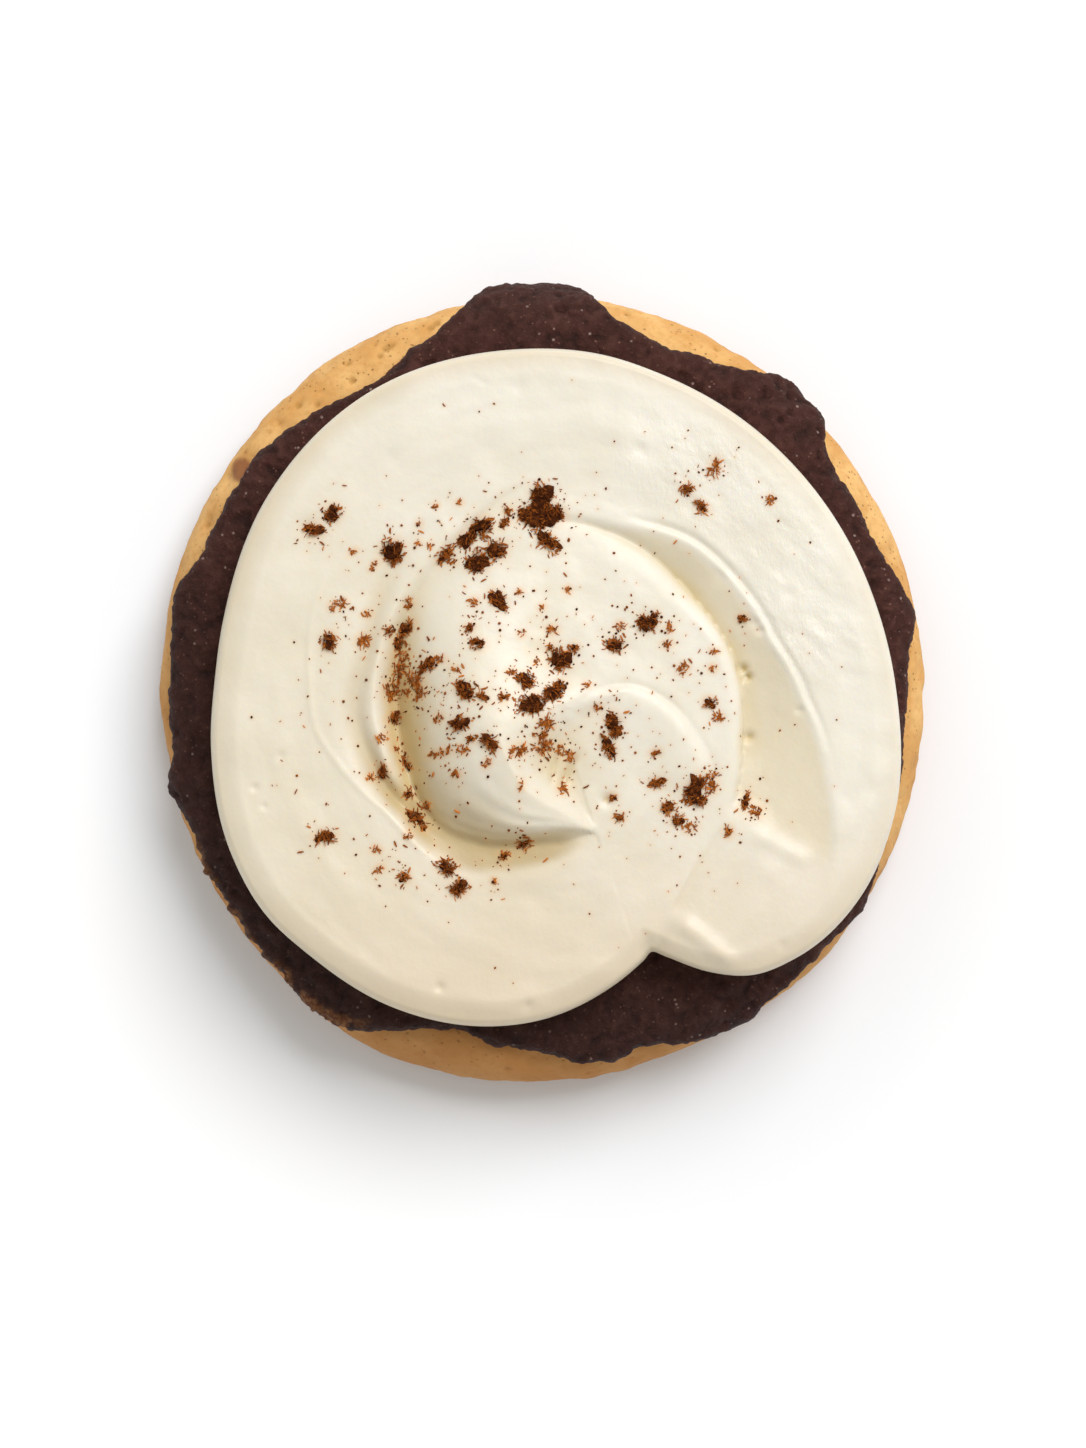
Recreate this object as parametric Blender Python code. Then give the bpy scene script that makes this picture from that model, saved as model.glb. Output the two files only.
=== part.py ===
"""A frosted cinnamon cookie: a round biscuit, a thick cinnamon spread that laps over its rim, and a
swirl of cream frosting pulled up into a point.

Metres, +Z up. The origin is on the flat base, under the middle of the cookie. Every solid is a flat
grid wrapped round the shape like a skin: one column of the grid for each direction round the cookie,
one row for each line round it, from the middle of the underside to the middle of the top.
Directions are in degrees, anticlockwise from +X."""

import bmesh
import bpy
import numpy as np

COLUMNS = 90
MM = 0.001
GAP = 0.0003

# The biscuit: a disc with a quarter-round shoulder over a tucked-in foot.
BISCUIT_RADIUS = 0.0500
BISCUIT_HEIGHT = 0.0135
SHOULDER = 0.0075
BELLY_HEIGHT = BISCUIT_HEIGHT - SHOULDER
FOOT_INSET = 0.0035
SHOULDER_LENGTH = SHOULDER * np.pi / 2
BISCUIT_SHIFT = (0.00045, 165)
BISCUIT_OVAL = (0.00075, 98)
# Rounded swellings of an edge: (direction, amount, half width in degrees).
BISCUIT_SWELLS = ((243, 0.0011, 17), (292, -0.0009, 16))

# The spread: its thickness on top and where it thins over the shoulder, and how far past the start
# of the shoulder it runs, measured along the biscuit's skin.
SPREAD_THICK = 0.0026
SPREAD_THINNING = 0.0008
SPREAD_LIP = 0.0022
SPREAD_REACH = 0.0052
# Where its finer rows begin, before the shoulder, and the height of its level top.
SPREAD_RING = -0.0040
SPREAD_LEVEL = BISCUIT_HEIGHT + GAP + SPREAD_THICK
# Where it laps further down the rim, and where it stops short of it.
SPREAD_SWELLS = (
    (12, 0.0022, 5), (50, 0.0057, 6.5), (69, -0.0016, 7), (86, 0.0044, 5), (95, 0.0072, 6.5),
    (121, -0.0032, 13), (167, 0.0028, 5), (182, 0.0010, 9), (196, 0.0036, 4.5), (207, 0.0009, 7),
    (217, 0.0028, 19), (254, -0.0040, 9), (268, -0.0020, 6), (298, 0.0046, 7.5), (312, 0.0018, 8),
    (325, 0.0036, 8.5), (356, -0.0005, 5),
)

# The frosting: a ring that rises from a tucked-in edge through a round rim to a level top.
FROSTING_RISE = 0.0075
FROSTING_LEVEL = SPREAD_LEVEL + GAP + FROSTING_RISE
FROSTING_TUCK = 0.0012
FROSTING_BELLY = 0.0020
FROSTING_RIM = 0.0065
# Distance of its edge from the middle. The ring's outer end is the lobe after the cleft at 294.
FROSTING_EDGE = (
    (0, 0.0449), (15, 0.0438), (30, 0.0432), (55, 0.0430), (90, 0.0440), (120, 0.0446), (150, 0.0435),
    (172, 0.0426), (200, 0.0449), (218, 0.0462), (243, 0.0453), (258, 0.0440), (270, 0.0421),
    (280, 0.0396), (288, 0.0372), (294, 0.0362), (299, 0.0398), (304, 0.0442), (312, 0.0470),
    (323, 0.0483), (337, 0.0478), (350, 0.0461),
)

# The lines that the spatula left in the frosting, as distances from the middle of the swirl.
SWIRL = (0.0012, -0.0019)
TURN_FOOT = (
    (-68, 0.0346), (-54, 0.0290), (-41, 0.0271), (-27, 0.0260), (-10, 0.0245), (11, 0.0239),
    (40, 0.0225), (70, 0.0232), (95, 0.0240), (130, 0.0260), (148, 0.0263), (165, 0.0253),
    (197, 0.0256), (215, 0.0246), (240, 0.0250),
)
OUTER_RIDGE = (
    (-34, 0.0400), (-23, 0.0376), (-9, 0.0360), (13, 0.0310), (32, 0.0287), (62, 0.0269), (84, 0.0254),
    (100, 0.0254),
)
LEFT_CREASE = (
    (150, 0.0342), (175, 0.0318), (186, 0.0310), (203, 0.0275), (212, 0.0259), (224, 0.0254),
    (250, 0.0254),
)
VALLEY = (
    (110, 0.0215), (156, 0.0210), (200, 0.0212), (223, 0.0222), (241, 0.0224), (256, 0.0204),
    (272, 0.0176), (290, 0.0160),
)
# The crest of the mound, which runs out into the point, from the hub that it curves round.
MOUND_HUB = (0.0108, 0.0)
MOUND_CREST = (
    (130, 0.0210), (150, 0.0205), (174, 0.0190), (191, 0.0173), (208, 0.0166), (239, 0.0173),
    (256, 0.0189), (262, 0.0198),
)
# The fold of the innermost curl, an arc round its own hub.
CURL_HUB = (0.0108, -0.0103)
CURL_RADIUS = 0.0095

# Heights and depths of the swirl.
TROUGH_DEPTH = 0.0026
GROOVE_DEPTH = 0.0012
CLEFT_DEPTH = 0.0017
TURN_CROWN = 0.0010
TURN_DOME = 0.0010
VALLEY_DEPTH = 0.0034
MOUND_HEIGHT = 0.0046
CURL_HEIGHT = 0.0007

# Each span gives four directions: where a feature starts, is full, starts to fade, and has gone.
TROUGH_SPAN = (-34, -24, 66, 98)
GROOVE_SPAN = (118, 160, 205, 222)
CLEFT_SPAN = (-71, -66, -58, -40)
CROWN_SPAN = (-60, -20, 70, 110)
VALLEY_SPAN = (105, 190, 246, 287)
CURL_SPAN = (-30, 5, 120, 150)

# Each change gives a (direction, value) to start from and one to end at.
TROUGH_FLOOR = ((-2, 0.6), (40, 0.0))
MOUND_RISE = ((125, 0.0), (205, 1.0))
MOUND_DROOP = ((215, 1.0), (254, 0.38))
MOUND_END = ((255.5, 1.0), (258.5, 0.0))
VALLEY_OUTER_BANK = ((235, 0.0036), (280, 0.0051))
VALLEY_INNER_BANK = ((205, 0.0054), (243, 0.0025))
MOUND_STEEP_SIDE = ((190, 0.0075), (256, 0.0036))
MOUND_GENTLE_SIDE = ((195, 0.0085), (256, 0.0029))

# How wide the other features are, and how fast a slope steepens (1 is straight).
TROUGH_CURVE = 1.5
GROOVE_CURVE = 1.3
MOUND_CURVE = 1.6
CLEFT_WIDTH = 0.0010
LIP_WIDTH = 0.0014
CROWN_WIDTH = 0.0090
STILL_CENTRE = (0.0020, 0.0100)
DOME = (0.0030, 0.0015)
DOME_WIDTH = 0.0170
CURL_INNER_WIDTH = 0.0036
CURL_OUTER_WIDTH = 0.0010
CURL_HOLLOW_WIDTH = 0.0070

# Directions where the lines of the swirl, the mound and the curl start being counted.
SWIRL_SEAM = -72
MOUND_SEAM = 80
CURL_SEAM = -80


def smooth_line(stations, closed=False):
    """A function of direction that passes smoothly through (direction, value) stations."""
    at = np.array([station[0] for station in stations], float)
    value = np.array([station[1] for station in stations], float)
    if closed:
        at = np.concatenate([at[-2:] - 360, at, at[:2] + 360])
        value = np.concatenate([value[-2:], value, value[:2]])
    slope = np.gradient(value, at)

    def line(angle):
        angle = np.asarray(angle, float)
        if closed:
            angle = np.mod(angle - at[2], 360) + at[2]
        angle = np.clip(angle, at[0], at[-1])
        i = np.clip(np.searchsorted(at, angle, side="right") - 1, 0, len(at) - 2)
        step = at[i + 1] - at[i]
        t = (angle - at[i]) / step
        start = (2 * t**3 - 3 * t**2 + 1) * value[i] + (t**3 - 2 * t**2 + t) * step * slope[i]
        end = (3 * t**2 - 2 * t**3) * value[i + 1] + (t**3 - t**2) * step * slope[i + 1]
        return start + end

    return line


def ramp(x, low, high):
    """0 below low, 1 above high, and smooth between them."""
    t = np.clip((x - low) / (high - low), 0, 1)
    return t * t * (3 - 2 * t)


def window(x, span):
    """1 between the two inner marks of span, fading to 0 at the outer ones."""
    start, full_start, full_end, end = span
    return ramp(x, start, full_start) * (1 - ramp(x, full_end, end))


def change(x, stations):
    """The first station's value up to it, the second's beyond it, and smooth between them."""
    (start, before), (end, after) = stations
    return before + (after - before) * ramp(x, start, end)


def fade(x, width, power=2.0):
    """1 at 0, dying away over about width to either side."""
    return np.exp(-(np.abs(x / width) ** power))


def quarter_round(x):
    """Rises from 0 to 1 like a quarter of a circle, and stays at 1."""
    return np.sqrt(1 - (1 - np.clip(x, 0, 1)) ** 2)


def cosine(angle):
    return np.cos(np.radians(angle))


def swells(angle, entries):
    """The sum of rounded swellings round an edge."""
    total = np.zeros_like(angle)
    for at, amount, half_width in entries:
        away = np.mod(angle - at + 180, 360) - 180
        total = total + amount * fade(away, half_width)
    return total


def biscuit_edge(angle):
    """The biscuit's largest radius in a direction."""
    shift, shift_at = BISCUIT_SHIFT
    oval, oval_at = BISCUIT_OVAL
    radius = BISCUIT_RADIUS + shift * cosine(angle - shift_at) + oval * cosine(2 * (angle - oval_at))
    return radius + swells(angle, BISCUIT_SWELLS)


def skin_point(along, angle, lift=0.0):
    """Distance from the middle and height of a point on the biscuit's skin, lifted off it by lift.

    along runs outwards from the start of the shoulder, so it is negative on the flat top."""
    shoulder_start = biscuit_edge(angle) - SHOULDER
    turned = np.clip(along, 0, SHOULDER_LENGTH) / SHOULDER
    level = np.minimum(along, 0)
    fallen = np.maximum(along - SHOULDER_LENGTH, 0)
    radius = shoulder_start + level + (SHOULDER + lift) * np.sin(turned)
    height = BELLY_HEIGHT + (SHOULDER + lift) * np.cos(turned) - fallen
    return radius, height


def spread_reach(angle):
    return SPREAD_REACH + swells(angle, SPREAD_SWELLS)


def spread_thickness(along, reach):
    """Thickness of the spread, which ends in a rounded lip at reach."""
    full = SPREAD_THICK - SPREAD_THINNING * ramp(along, 0, SHOULDER_LENGTH)
    return full * quarter_round((reach - along) / SPREAD_LIP)


def spread_top(radius, angle):
    """Height of the spread's upper side at a distance from the middle, away from its lip."""
    along = np.linspace(-BISCUIT_RADIUS, SHOULDER_LENGTH, 400)
    lift = GAP + spread_thickness(along, 1.0)
    outward, height = skin_point(along, np.zeros_like(along), lift)
    outward = outward - biscuit_edge(np.zeros(1))
    return np.interp(radius - biscuit_edge(angle), outward, height)


def polar(x, y, hub, first):
    """Distance and direction from a hub, with directions counted up from first."""
    angle = np.degrees(np.arctan2(y - hub[1], x - hub[0]))
    return np.hypot(x - hub[0], y - hub[1]), np.mod(angle - first, 360) + first


def turn_relief(x, y):
    """The second turn of the swirl: a rounded roll with a trough to its right and a groove to its left."""
    radius, angle = polar(x, y, SWIRL, SWIRL_SEAM)
    foot = smooth_line(TURN_FOOT)(angle)
    past_foot = radius - foot
    trough = window(angle, TROUGH_SPAN)
    ridge = smooth_line(OUTER_RIDGE)(angle)
    floor_share = change(angle, TROUGH_FLOOR)
    across = past_foot / np.maximum(ridge - foot, MM)
    risen = np.clip((across - floor_share) / (1 - floor_share), 0, 1) ** TROUGH_CURVE
    groove = window(angle, GROOVE_SPAN)
    crease = smooth_line(LEFT_CREASE)(angle)
    fallen = np.clip((crease - radius) / np.maximum(crease - foot, MM), 0, 1) ** GROOVE_CURVE
    cleft = CLEFT_DEPTH * window(angle, CLEFT_SPAN)
    outside = -TROUGH_DEPTH * trough * (1 - risen) - GROOVE_DEPTH * groove * fallen
    outside = outside - cleft * fade(past_foot, CLEFT_WIDTH)
    sunk = TROUGH_DEPTH * trough + GROOVE_DEPTH * groove + cleft
    lip = quarter_round(-past_foot / LIP_WIDTH)
    crown = TURN_CROWN * window(angle, CROWN_SPAN) * (1 - ramp(-past_foot, 0, CROWN_WIDTH))
    inside = -sunk * (1 - lip) - crown * lip * ramp(radius, *STILL_CENTRE)
    dome = TURN_DOME * fade(np.hypot(x - DOME[0], y - DOME[1]), DOME_WIDTH, 3)
    return np.where(past_foot > 0, outside, inside) + dome


def mound_relief(x, y):
    """The mound with its drawn-out point, and the valley that hugs its left and lower sides."""
    radius, angle = polar(x, y, SWIRL, SWIRL_SEAM)
    from_valley = radius - smooth_line(VALLEY)(angle)
    outer_bank = change(angle, VALLEY_OUTER_BANK)
    inner_bank = change(angle, VALLEY_INNER_BANK)
    bank = np.where(from_valley > 0, from_valley / outer_bank, -from_valley / inner_bank)
    valley = -VALLEY_DEPTH * window(angle, VALLEY_SPAN) * (1 - ramp(bank, 0, 1))
    radius, angle = polar(x, y, MOUND_HUB, MOUND_SEAM)
    from_crest = radius - smooth_line(MOUND_CREST)(angle)
    height = MOUND_HEIGHT * change(angle, MOUND_RISE) * change(angle, MOUND_DROOP)
    height = height * change(angle, MOUND_END)
    steep_side = change(angle, MOUND_STEEP_SIDE)
    gentle_side = change(angle, MOUND_GENTLE_SIDE)
    width = np.where(from_crest > 0, steep_side, gentle_side)
    return valley + height * fade(from_crest, width, MOUND_CURVE)


def curl_relief(x, y):
    """The low fold of the innermost curl, over a shallow hollow."""
    radius, angle = polar(x, y, CURL_HUB, CURL_SEAM)
    from_fold = radius - CURL_RADIUS
    width = np.where(from_fold < 0, CURL_INNER_WIDTH, CURL_OUTER_WIDTH)
    fold = window(angle, CURL_SPAN) * fade(from_fold, width)
    return CURL_HEIGHT * (fold - fade(radius, CURL_HOLLOW_WIDTH))


def frosting_relief(x, y):
    """Height above the ring's level top."""
    return turn_relief(x, y) + mound_relief(x, y) + curl_relief(x, y)


def wrap(name, rows, material):
    """A closed solid from rows of (radius, height) or (x, y, height), each with a value for each column."""
    angles = np.arange(COLUMNS) * 360 / COLUMNS
    places = np.zeros((len(rows), COLUMNS, 3))
    for row, (radius, height) in zip(places, rows):
        row[:, 0] = radius * cosine(angles)
        row[:, 1] = radius * cosine(angles - 90)
        row[:, 2] = height
    skin = bmesh.new()
    bmesh.ops.create_grid(skin, x_segments=COLUMNS, y_segments=len(rows) - 1, size=1.0)
    for vert in skin.verts:
        column = round((vert.co.x + 1) / 2 * COLUMNS) % COLUMNS
        row = round((vert.co.y + 1) / 2 * (len(rows) - 1))
        vert.co = places[row, column]
    bmesh.ops.remove_doubles(skin, verts=skin.verts, dist=1e-6)
    bmesh.ops.triangulate(skin, faces=skin.faces)
    bmesh.ops.recalc_face_normals(skin, faces=skin.faces)
    mesh = bpy.data.meshes.new(name)
    skin.to_mesh(mesh)
    skin.free()
    mesh.shade_smooth()
    mesh.materials.append(material)
    solid = bpy.data.objects.new(name, mesh)
    bpy.context.collection.objects.link(solid)
    return solid


def finish(name, colour, roughness):
    material = bpy.data.materials.new(name)
    material.use_nodes = True
    shader = material.node_tree.nodes["Principled BSDF"]
    shader.inputs["Base Color"].default_value = (*colour, 1.0)
    shader.inputs["Roughness"].default_value = roughness
    shader.inputs["Metallic"].default_value = 0.0
    return material


def make_biscuit(angles):
    zero = np.zeros_like(angles)
    edge = biscuit_edge(angles)
    rows = [(zero, zero)]
    for turned in np.radians((90, 60, 30)):
        rows.append((edge - FOOT_INSET * (1 - np.cos(turned)), BELLY_HEIGHT * (1 - np.sin(turned)) + zero))
    for turned in np.radians((90, 75, 60, 45, 30, 15, 0)):
        rows.append(skin_point(SHOULDER * turned, angles))
    rows.append((zero, BISCUIT_HEIGHT + zero))
    return wrap("biscuit", rows, finish("baked_biscuit", (0.69, 0.36, 0.12), 0.75))


def make_spread(angles):
    zero = np.zeros_like(angles)
    reach = spread_reach(angles)
    rows = [(zero, BISCUIT_HEIGHT + GAP + zero)]
    for share in np.linspace(0, 1, 8):
        rows.append(skin_point(SPREAD_RING + (reach - SPREAD_RING) * share, angles, GAP))
    for share in (0.08, 0.3, 0.6):
        along = reach - SPREAD_LIP * share
        rows.append(skin_point(along, angles, GAP + spread_thickness(along, reach)))
    for share in np.linspace(1, 0, 6):
        along = SPREAD_RING + (reach - SPREAD_LIP - SPREAD_RING) * share
        rows.append(skin_point(along, angles, GAP + spread_thickness(along, reach)))
    rows.append((zero, SPREAD_LEVEL + zero))
    return wrap("cinnamon_spread", rows, finish("cinnamon_spread", (0.037, 0.015, 0.012), 0.5))


def make_frosting(angles):
    zero = np.zeros_like(angles)
    edge = smooth_line(FROSTING_EDGE, closed=True)(angles)
    contact = edge - FROSTING_TUCK
    seat = spread_top(contact, angles) + GAP
    rows = [(zero, SPREAD_LEVEL + GAP + zero)]
    for inset in (6 * MM, 3.5 * MM, 1.5 * MM):
        rows.append((contact - inset, spread_top(contact - inset, angles) + GAP))
    rows.append((contact, seat))
    belly = seat + FROSTING_BELLY
    rows.append((edge, belly))
    for turned in np.radians((25, 50, 72)):
        radius = edge - FROSTING_RIM * (1 - np.cos(turned))
        top = FROSTING_LEVEL + frosting_relief(radius * cosine(angles), radius * cosine(angles - 90))
        rows.append((radius, belly + (top - belly) * np.sin(turned)))
    for share in np.linspace(1, 0, 21):
        radius = (edge - FROSTING_RIM) * share
        top = FROSTING_LEVEL + frosting_relief(radius * cosine(angles), radius * cosine(angles - 90))
        rows.append((radius, top))
    return wrap("cream_frosting", rows, finish("cream_frosting", (0.87, 0.79, 0.63), 0.4))


def main():
    for old in list(bpy.data.objects):
        bpy.data.objects.remove(old, do_unlink=True)
    angles = np.arange(COLUMNS) * 360 / COLUMNS
    make_biscuit(angles)
    make_spread(angles)
    make_frosting(angles)


main()
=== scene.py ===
# %% [markdown]
# # A frosted cinnamon cookie
#
# The real cookie is three soft layers and a dusting. A golden biscuit comes out of the oven first.
# A thick, dark cinnamon spread goes over it and laps down its rim. A spoonful of cream frosting is
# then swirled on top with a spatula, and ground cinnamon is sprinkled over.
# The layers are made in that order here. The frame is the plain model of the same cookie. It gives
# the places and sizes, and each layer below takes the place of one of its nodes.
# Lengths are in metres, +Z is up, and directions are in degrees, anticlockwise from +X.

# %% Load the frame
import itertools

import bpy
import numpy as np
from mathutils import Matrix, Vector
from mathutils.bvhtree import BVHTree


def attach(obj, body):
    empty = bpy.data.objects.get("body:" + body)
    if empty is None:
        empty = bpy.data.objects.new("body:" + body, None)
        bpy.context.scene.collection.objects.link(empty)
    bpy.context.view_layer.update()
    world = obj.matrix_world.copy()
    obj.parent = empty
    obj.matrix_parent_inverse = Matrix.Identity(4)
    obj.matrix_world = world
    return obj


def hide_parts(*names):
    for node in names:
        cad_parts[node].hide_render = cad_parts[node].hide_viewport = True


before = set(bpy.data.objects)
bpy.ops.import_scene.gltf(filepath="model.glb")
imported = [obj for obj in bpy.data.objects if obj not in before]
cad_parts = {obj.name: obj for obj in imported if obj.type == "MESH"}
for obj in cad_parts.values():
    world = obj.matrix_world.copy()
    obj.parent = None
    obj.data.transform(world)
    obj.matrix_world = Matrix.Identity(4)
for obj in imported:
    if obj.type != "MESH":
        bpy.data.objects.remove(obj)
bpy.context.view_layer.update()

MM = 0.001
print("frame nodes:", sorted(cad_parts))

# %% [markdown]
# ## Tools for shaping
#
# Its points are then read as one array, moved, and written back. What a finish has to know about a
# point, such as how deep it lies, is kept with the mesh as a mark.

# %% Take a piece in hand, and read and move its points
def take(piece):
    """Selects this piece alone, as a click on it does."""
    bpy.ops.object.select_all(action="DESELECT")
    piece.select_set(True)
    bpy.context.view_layer.objects.active = piece


def select_faces(piece, chosen):
    """In edit mode, selects the faces for which chosen(centre, normal) is true."""
    bpy.ops.mesh.select_all(action="DESELECT")
    bpy.ops.object.mode_set(mode="OBJECT")
    for face in piece.data.polygons:
        face.select = chosen(face.center, face.normal)
    bpy.ops.object.mode_set(mode="EDIT")


def points_of(piece):
    points = np.empty(3 * len(piece.data.vertices))
    piece.data.vertices.foreach_get("co", points)
    return points.reshape(-1, 3)


def normals_of(piece):
    normals = np.empty(3 * len(piece.data.vertices))
    piece.data.vertices.foreach_get("normal", normals)
    return normals.reshape(-1, 3)


def move_points(piece, points):
    piece.data.vertices.foreach_set("co", np.ascontiguousarray(points).ravel())
    piece.data.update()


def mark(piece, name, values):
    """Keeps one number for each point under this name, for the piece's finish to read."""
    attribute = piece.data.attributes.new(name, "FLOAT", "POINT")
    attribute.data.foreach_set("value", values)


def close_up(piece):
    """Merges doubled points, turns the faces outwards and shades the piece smooth."""
    take(piece)
    bpy.ops.object.mode_set(mode="EDIT")
    bpy.ops.mesh.select_all(action="SELECT")
    bpy.ops.mesh.remove_doubles(threshold=1e-6)
    bpy.ops.mesh.normals_make_consistent(inside=False)
    bpy.ops.object.mode_set(mode="OBJECT")
    bpy.ops.object.shade_smooth()
    triangles = sum(len(face.vertices) - 2 for face in piece.data.polygons)
    print(piece.name, "has", triangles, "triangles")


# %% [markdown]
# Every soft outline here is a smooth line through a few measured stations, and every ridge or hollow
# is one of a few curves: a ramp, a window that opens and closes, and a bump that dies away. A cloud of
# smooth random bumps gives dough and spread their unevenness. It comes from a seeded table, so the
# cookie is the same each time.

# %% Smooth lines and ramps
def smooth_line(stations, closed=False):
    """A function of direction that passes smoothly through (direction, value) stations."""
    at = np.array([station[0] for station in stations], float)
    value = np.array([station[1] for station in stations], float)
    if closed:
        at = np.concatenate([at[-2:] - 360, at, at[:2] + 360])
        value = np.concatenate([value[-2:], value, value[:2]])
    slope = np.gradient(value, at)

    def line(angle):
        if closed:
            angle = np.mod(angle - at[2], 360) + at[2]
        angle = np.clip(angle, at[0], at[-1])
        i = np.clip(np.searchsorted(at, angle, side="right") - 1, 0, len(at) - 2)
        step = at[i + 1] - at[i]
        t = (angle - at[i]) / step
        start = (2 * t**3 - 3 * t**2 + 1) * value[i] + (t**3 - 2 * t**2 + t) * step * slope[i]
        end = (3 * t**2 - 2 * t**3) * value[i + 1] + (t**3 - t**2) * step * slope[i + 1]
        return start + end

    return line


def ramp(x, low, high):
    """0 below low, 1 above high, and smooth between them."""
    t = np.clip((x - low) / (high - low), 0, 1)
    return t * t * (3 - 2 * t)


def window(x, span):
    """1 between the two inner marks of span, fading to 0 at the outer ones."""
    start, full_start, full_end, end = span
    return ramp(x, start, full_start) * (1 - ramp(x, full_end, end))


def change(x, stations):
    """The first station's value up to it, the second's beyond it, and smooth between them."""
    (start, before), (end, after) = stations
    return before + (after - before) * ramp(x, start, end)


def fade(x, width, power=2.0):
    """1 at 0, dying away over about width to either side."""
    return np.exp(-(np.abs(x / width) ** power))


def quarter_round(x, power=2.0):
    """Rises from 0 to 1 like a quarter of a circle, and stays at 1. A higher power is squarer."""
    return (1 - (1 - np.clip(x, 0, 1)) ** power) ** (1 / power)


# %% Directions, swellings and clouds
def cosine(angle):
    return np.cos(np.radians(angle))


def direction_of(x, y):
    return np.degrees(np.arctan2(y, x))


def places(radius, angle, height):
    """Points at these distances and directions from the middle, at these heights."""
    return np.column_stack([radius * cosine(angle), radius * cosine(angle - 90), height])


def swells(angle, entries):
    """The sum of swellings round an edge, each (direction, amount, half width in degrees, squareness)."""
    total = np.zeros_like(angle)
    for at, amount, half_width, squareness in entries:
        away = np.mod(angle - at + 180, 360) - 180
        total = total + amount * fade(away, half_width, squareness)
    return total


def cloud(points, size, seed):
    """Smooth random bumps about size across, from -1 to 1, at each point."""
    table = np.random.default_rng(seed).uniform(-1, 1, 4096)
    cell = np.floor(points / size).astype(np.int64)
    t = points / size - cell
    t = t * t * (3 - 2 * t)
    total = np.zeros(len(points))
    for corner in itertools.product((0, 1), repeat=3):
        key = cell + corner
        place = (key[:, 0] * 73856093) ^ (key[:, 1] * 19349663) ^ (key[:, 2] * 83492791)
        weight = np.prod(np.where(corner, t, 1 - t), axis=1)
        total = total + table[place & 4095] * weight
    return total


# %% [markdown]
# ## The biscuit's shape
#
# A thick cookie rises in the oven into a disc with a rounded shoulder and a foot that tucks in a
# little where it met the tray. It is added as a cylinder, and its top and bottom rims are bevelled
# into the shoulder and the foot, with one ring of small faces for each segment. A scaled move then
# draws the foot up to its real height.

# %% Add the biscuit
BISCUIT_RADIUS = 50.4 * MM
BISCUIT_HEIGHT = 13.5 * MM
SHOULDER = 7.5 * MM
BELLY_HEIGHT = BISCUIT_HEIGHT - SHOULDER
FOOT_INSET = 3.5 * MM
SHOULDER_LENGTH = SHOULDER * np.pi / 2
BISCUIT_COLUMNS = 1000
SHOULDER_RINGS = 38
FOOT_RINGS = 20
CAP_INSETS = (4 * MM, 12 * MM)


def bevel_rim(piece, height, width, rings):
    """Rounds the rim edges that lie at this height."""
    bpy.ops.object.mode_set(mode="EDIT")
    bpy.ops.mesh.select_mode(type="EDGE")
    bpy.ops.mesh.select_all(action="DESELECT")
    bpy.ops.object.mode_set(mode="OBJECT")
    vertices = piece.data.vertices
    for edge in piece.data.edges:
        edge.select = all(abs(vertices[i].co.z - height) < 0.01 * MM for i in edge.vertices)
    bpy.ops.object.mode_set(mode="EDIT")
    bpy.ops.mesh.bevel(offset=width, segments=rings, profile=0.5, affect="EDGES", clamp_overlap=False)
    bpy.ops.mesh.select_mode(type="FACE")
    bpy.ops.object.mode_set(mode="OBJECT")


def fill_caps(piece, insets):
    """Draws rings in from the flat top and bottom faces, and joins each to a point in the middle."""
    bpy.ops.object.mode_set(mode="EDIT")
    select_faces(piece, lambda centre, normal: abs(normal.z) > 0.999 and centre.xy.length < MM)
    for width in insets:
        bpy.ops.mesh.inset(thickness=width, use_individual=True)
    bpy.ops.mesh.poke()
    bpy.ops.object.mode_set(mode="OBJECT")


bpy.ops.object.select_all(action="DESELECT")
cast_height = SHOULDER + FOOT_INSET
bpy.ops.mesh.primitive_cylinder_add(
    vertices=BISCUIT_COLUMNS,
    radius=BISCUIT_RADIUS,
    depth=cast_height,
    location=(0, 0, cast_height / 2),
    end_fill_type="NGON",
)
biscuit = bpy.context.active_object
biscuit.name = "baked_biscuit"
bpy.ops.object.transform_apply(location=True, rotation=True, scale=True)
bevel_rim(biscuit, cast_height, SHOULDER, SHOULDER_RINGS)
bevel_rim(biscuit, 0.0, FOOT_INSET, FOOT_RINGS)
fill_caps(biscuit, CAP_INSETS)
close_up(biscuit)

# %% [markdown]
# No baked disc is truly round, and this one is a little wide across one way and swollen at the lower
# left. Its skin has low lumps and small dimples, scattered at random, and clearer dents listed one by
# one, most of them at the upper left. The outline comes first, because the spread is draped over it.
# Lumps, dimples and dents are moves along the skin's own normals. The dents are marked for a painted
# shade inside them, and a smear of spread at the upper left is marked because it differs in colour.

# %% Give the biscuit its real outline
BISCUIT_SHIFT = (0.45 * MM, 165)
BISCUIT_OVAL = (0.75 * MM, 98)
BISCUIT_SWELLS = ((243, 1.1 * MM, 17, 2), (292, -0.9 * MM, 16, 2))


def biscuit_edge(angle):
    """The biscuit's largest radius in a direction."""
    shift, shift_at = BISCUIT_SHIFT
    oval, oval_at = BISCUIT_OVAL
    radius = BISCUIT_RADIUS + shift * cosine(angle - shift_at) + oval * cosine(2 * (angle - oval_at))
    return radius + swells(angle, BISCUIT_SWELLS)


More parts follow.
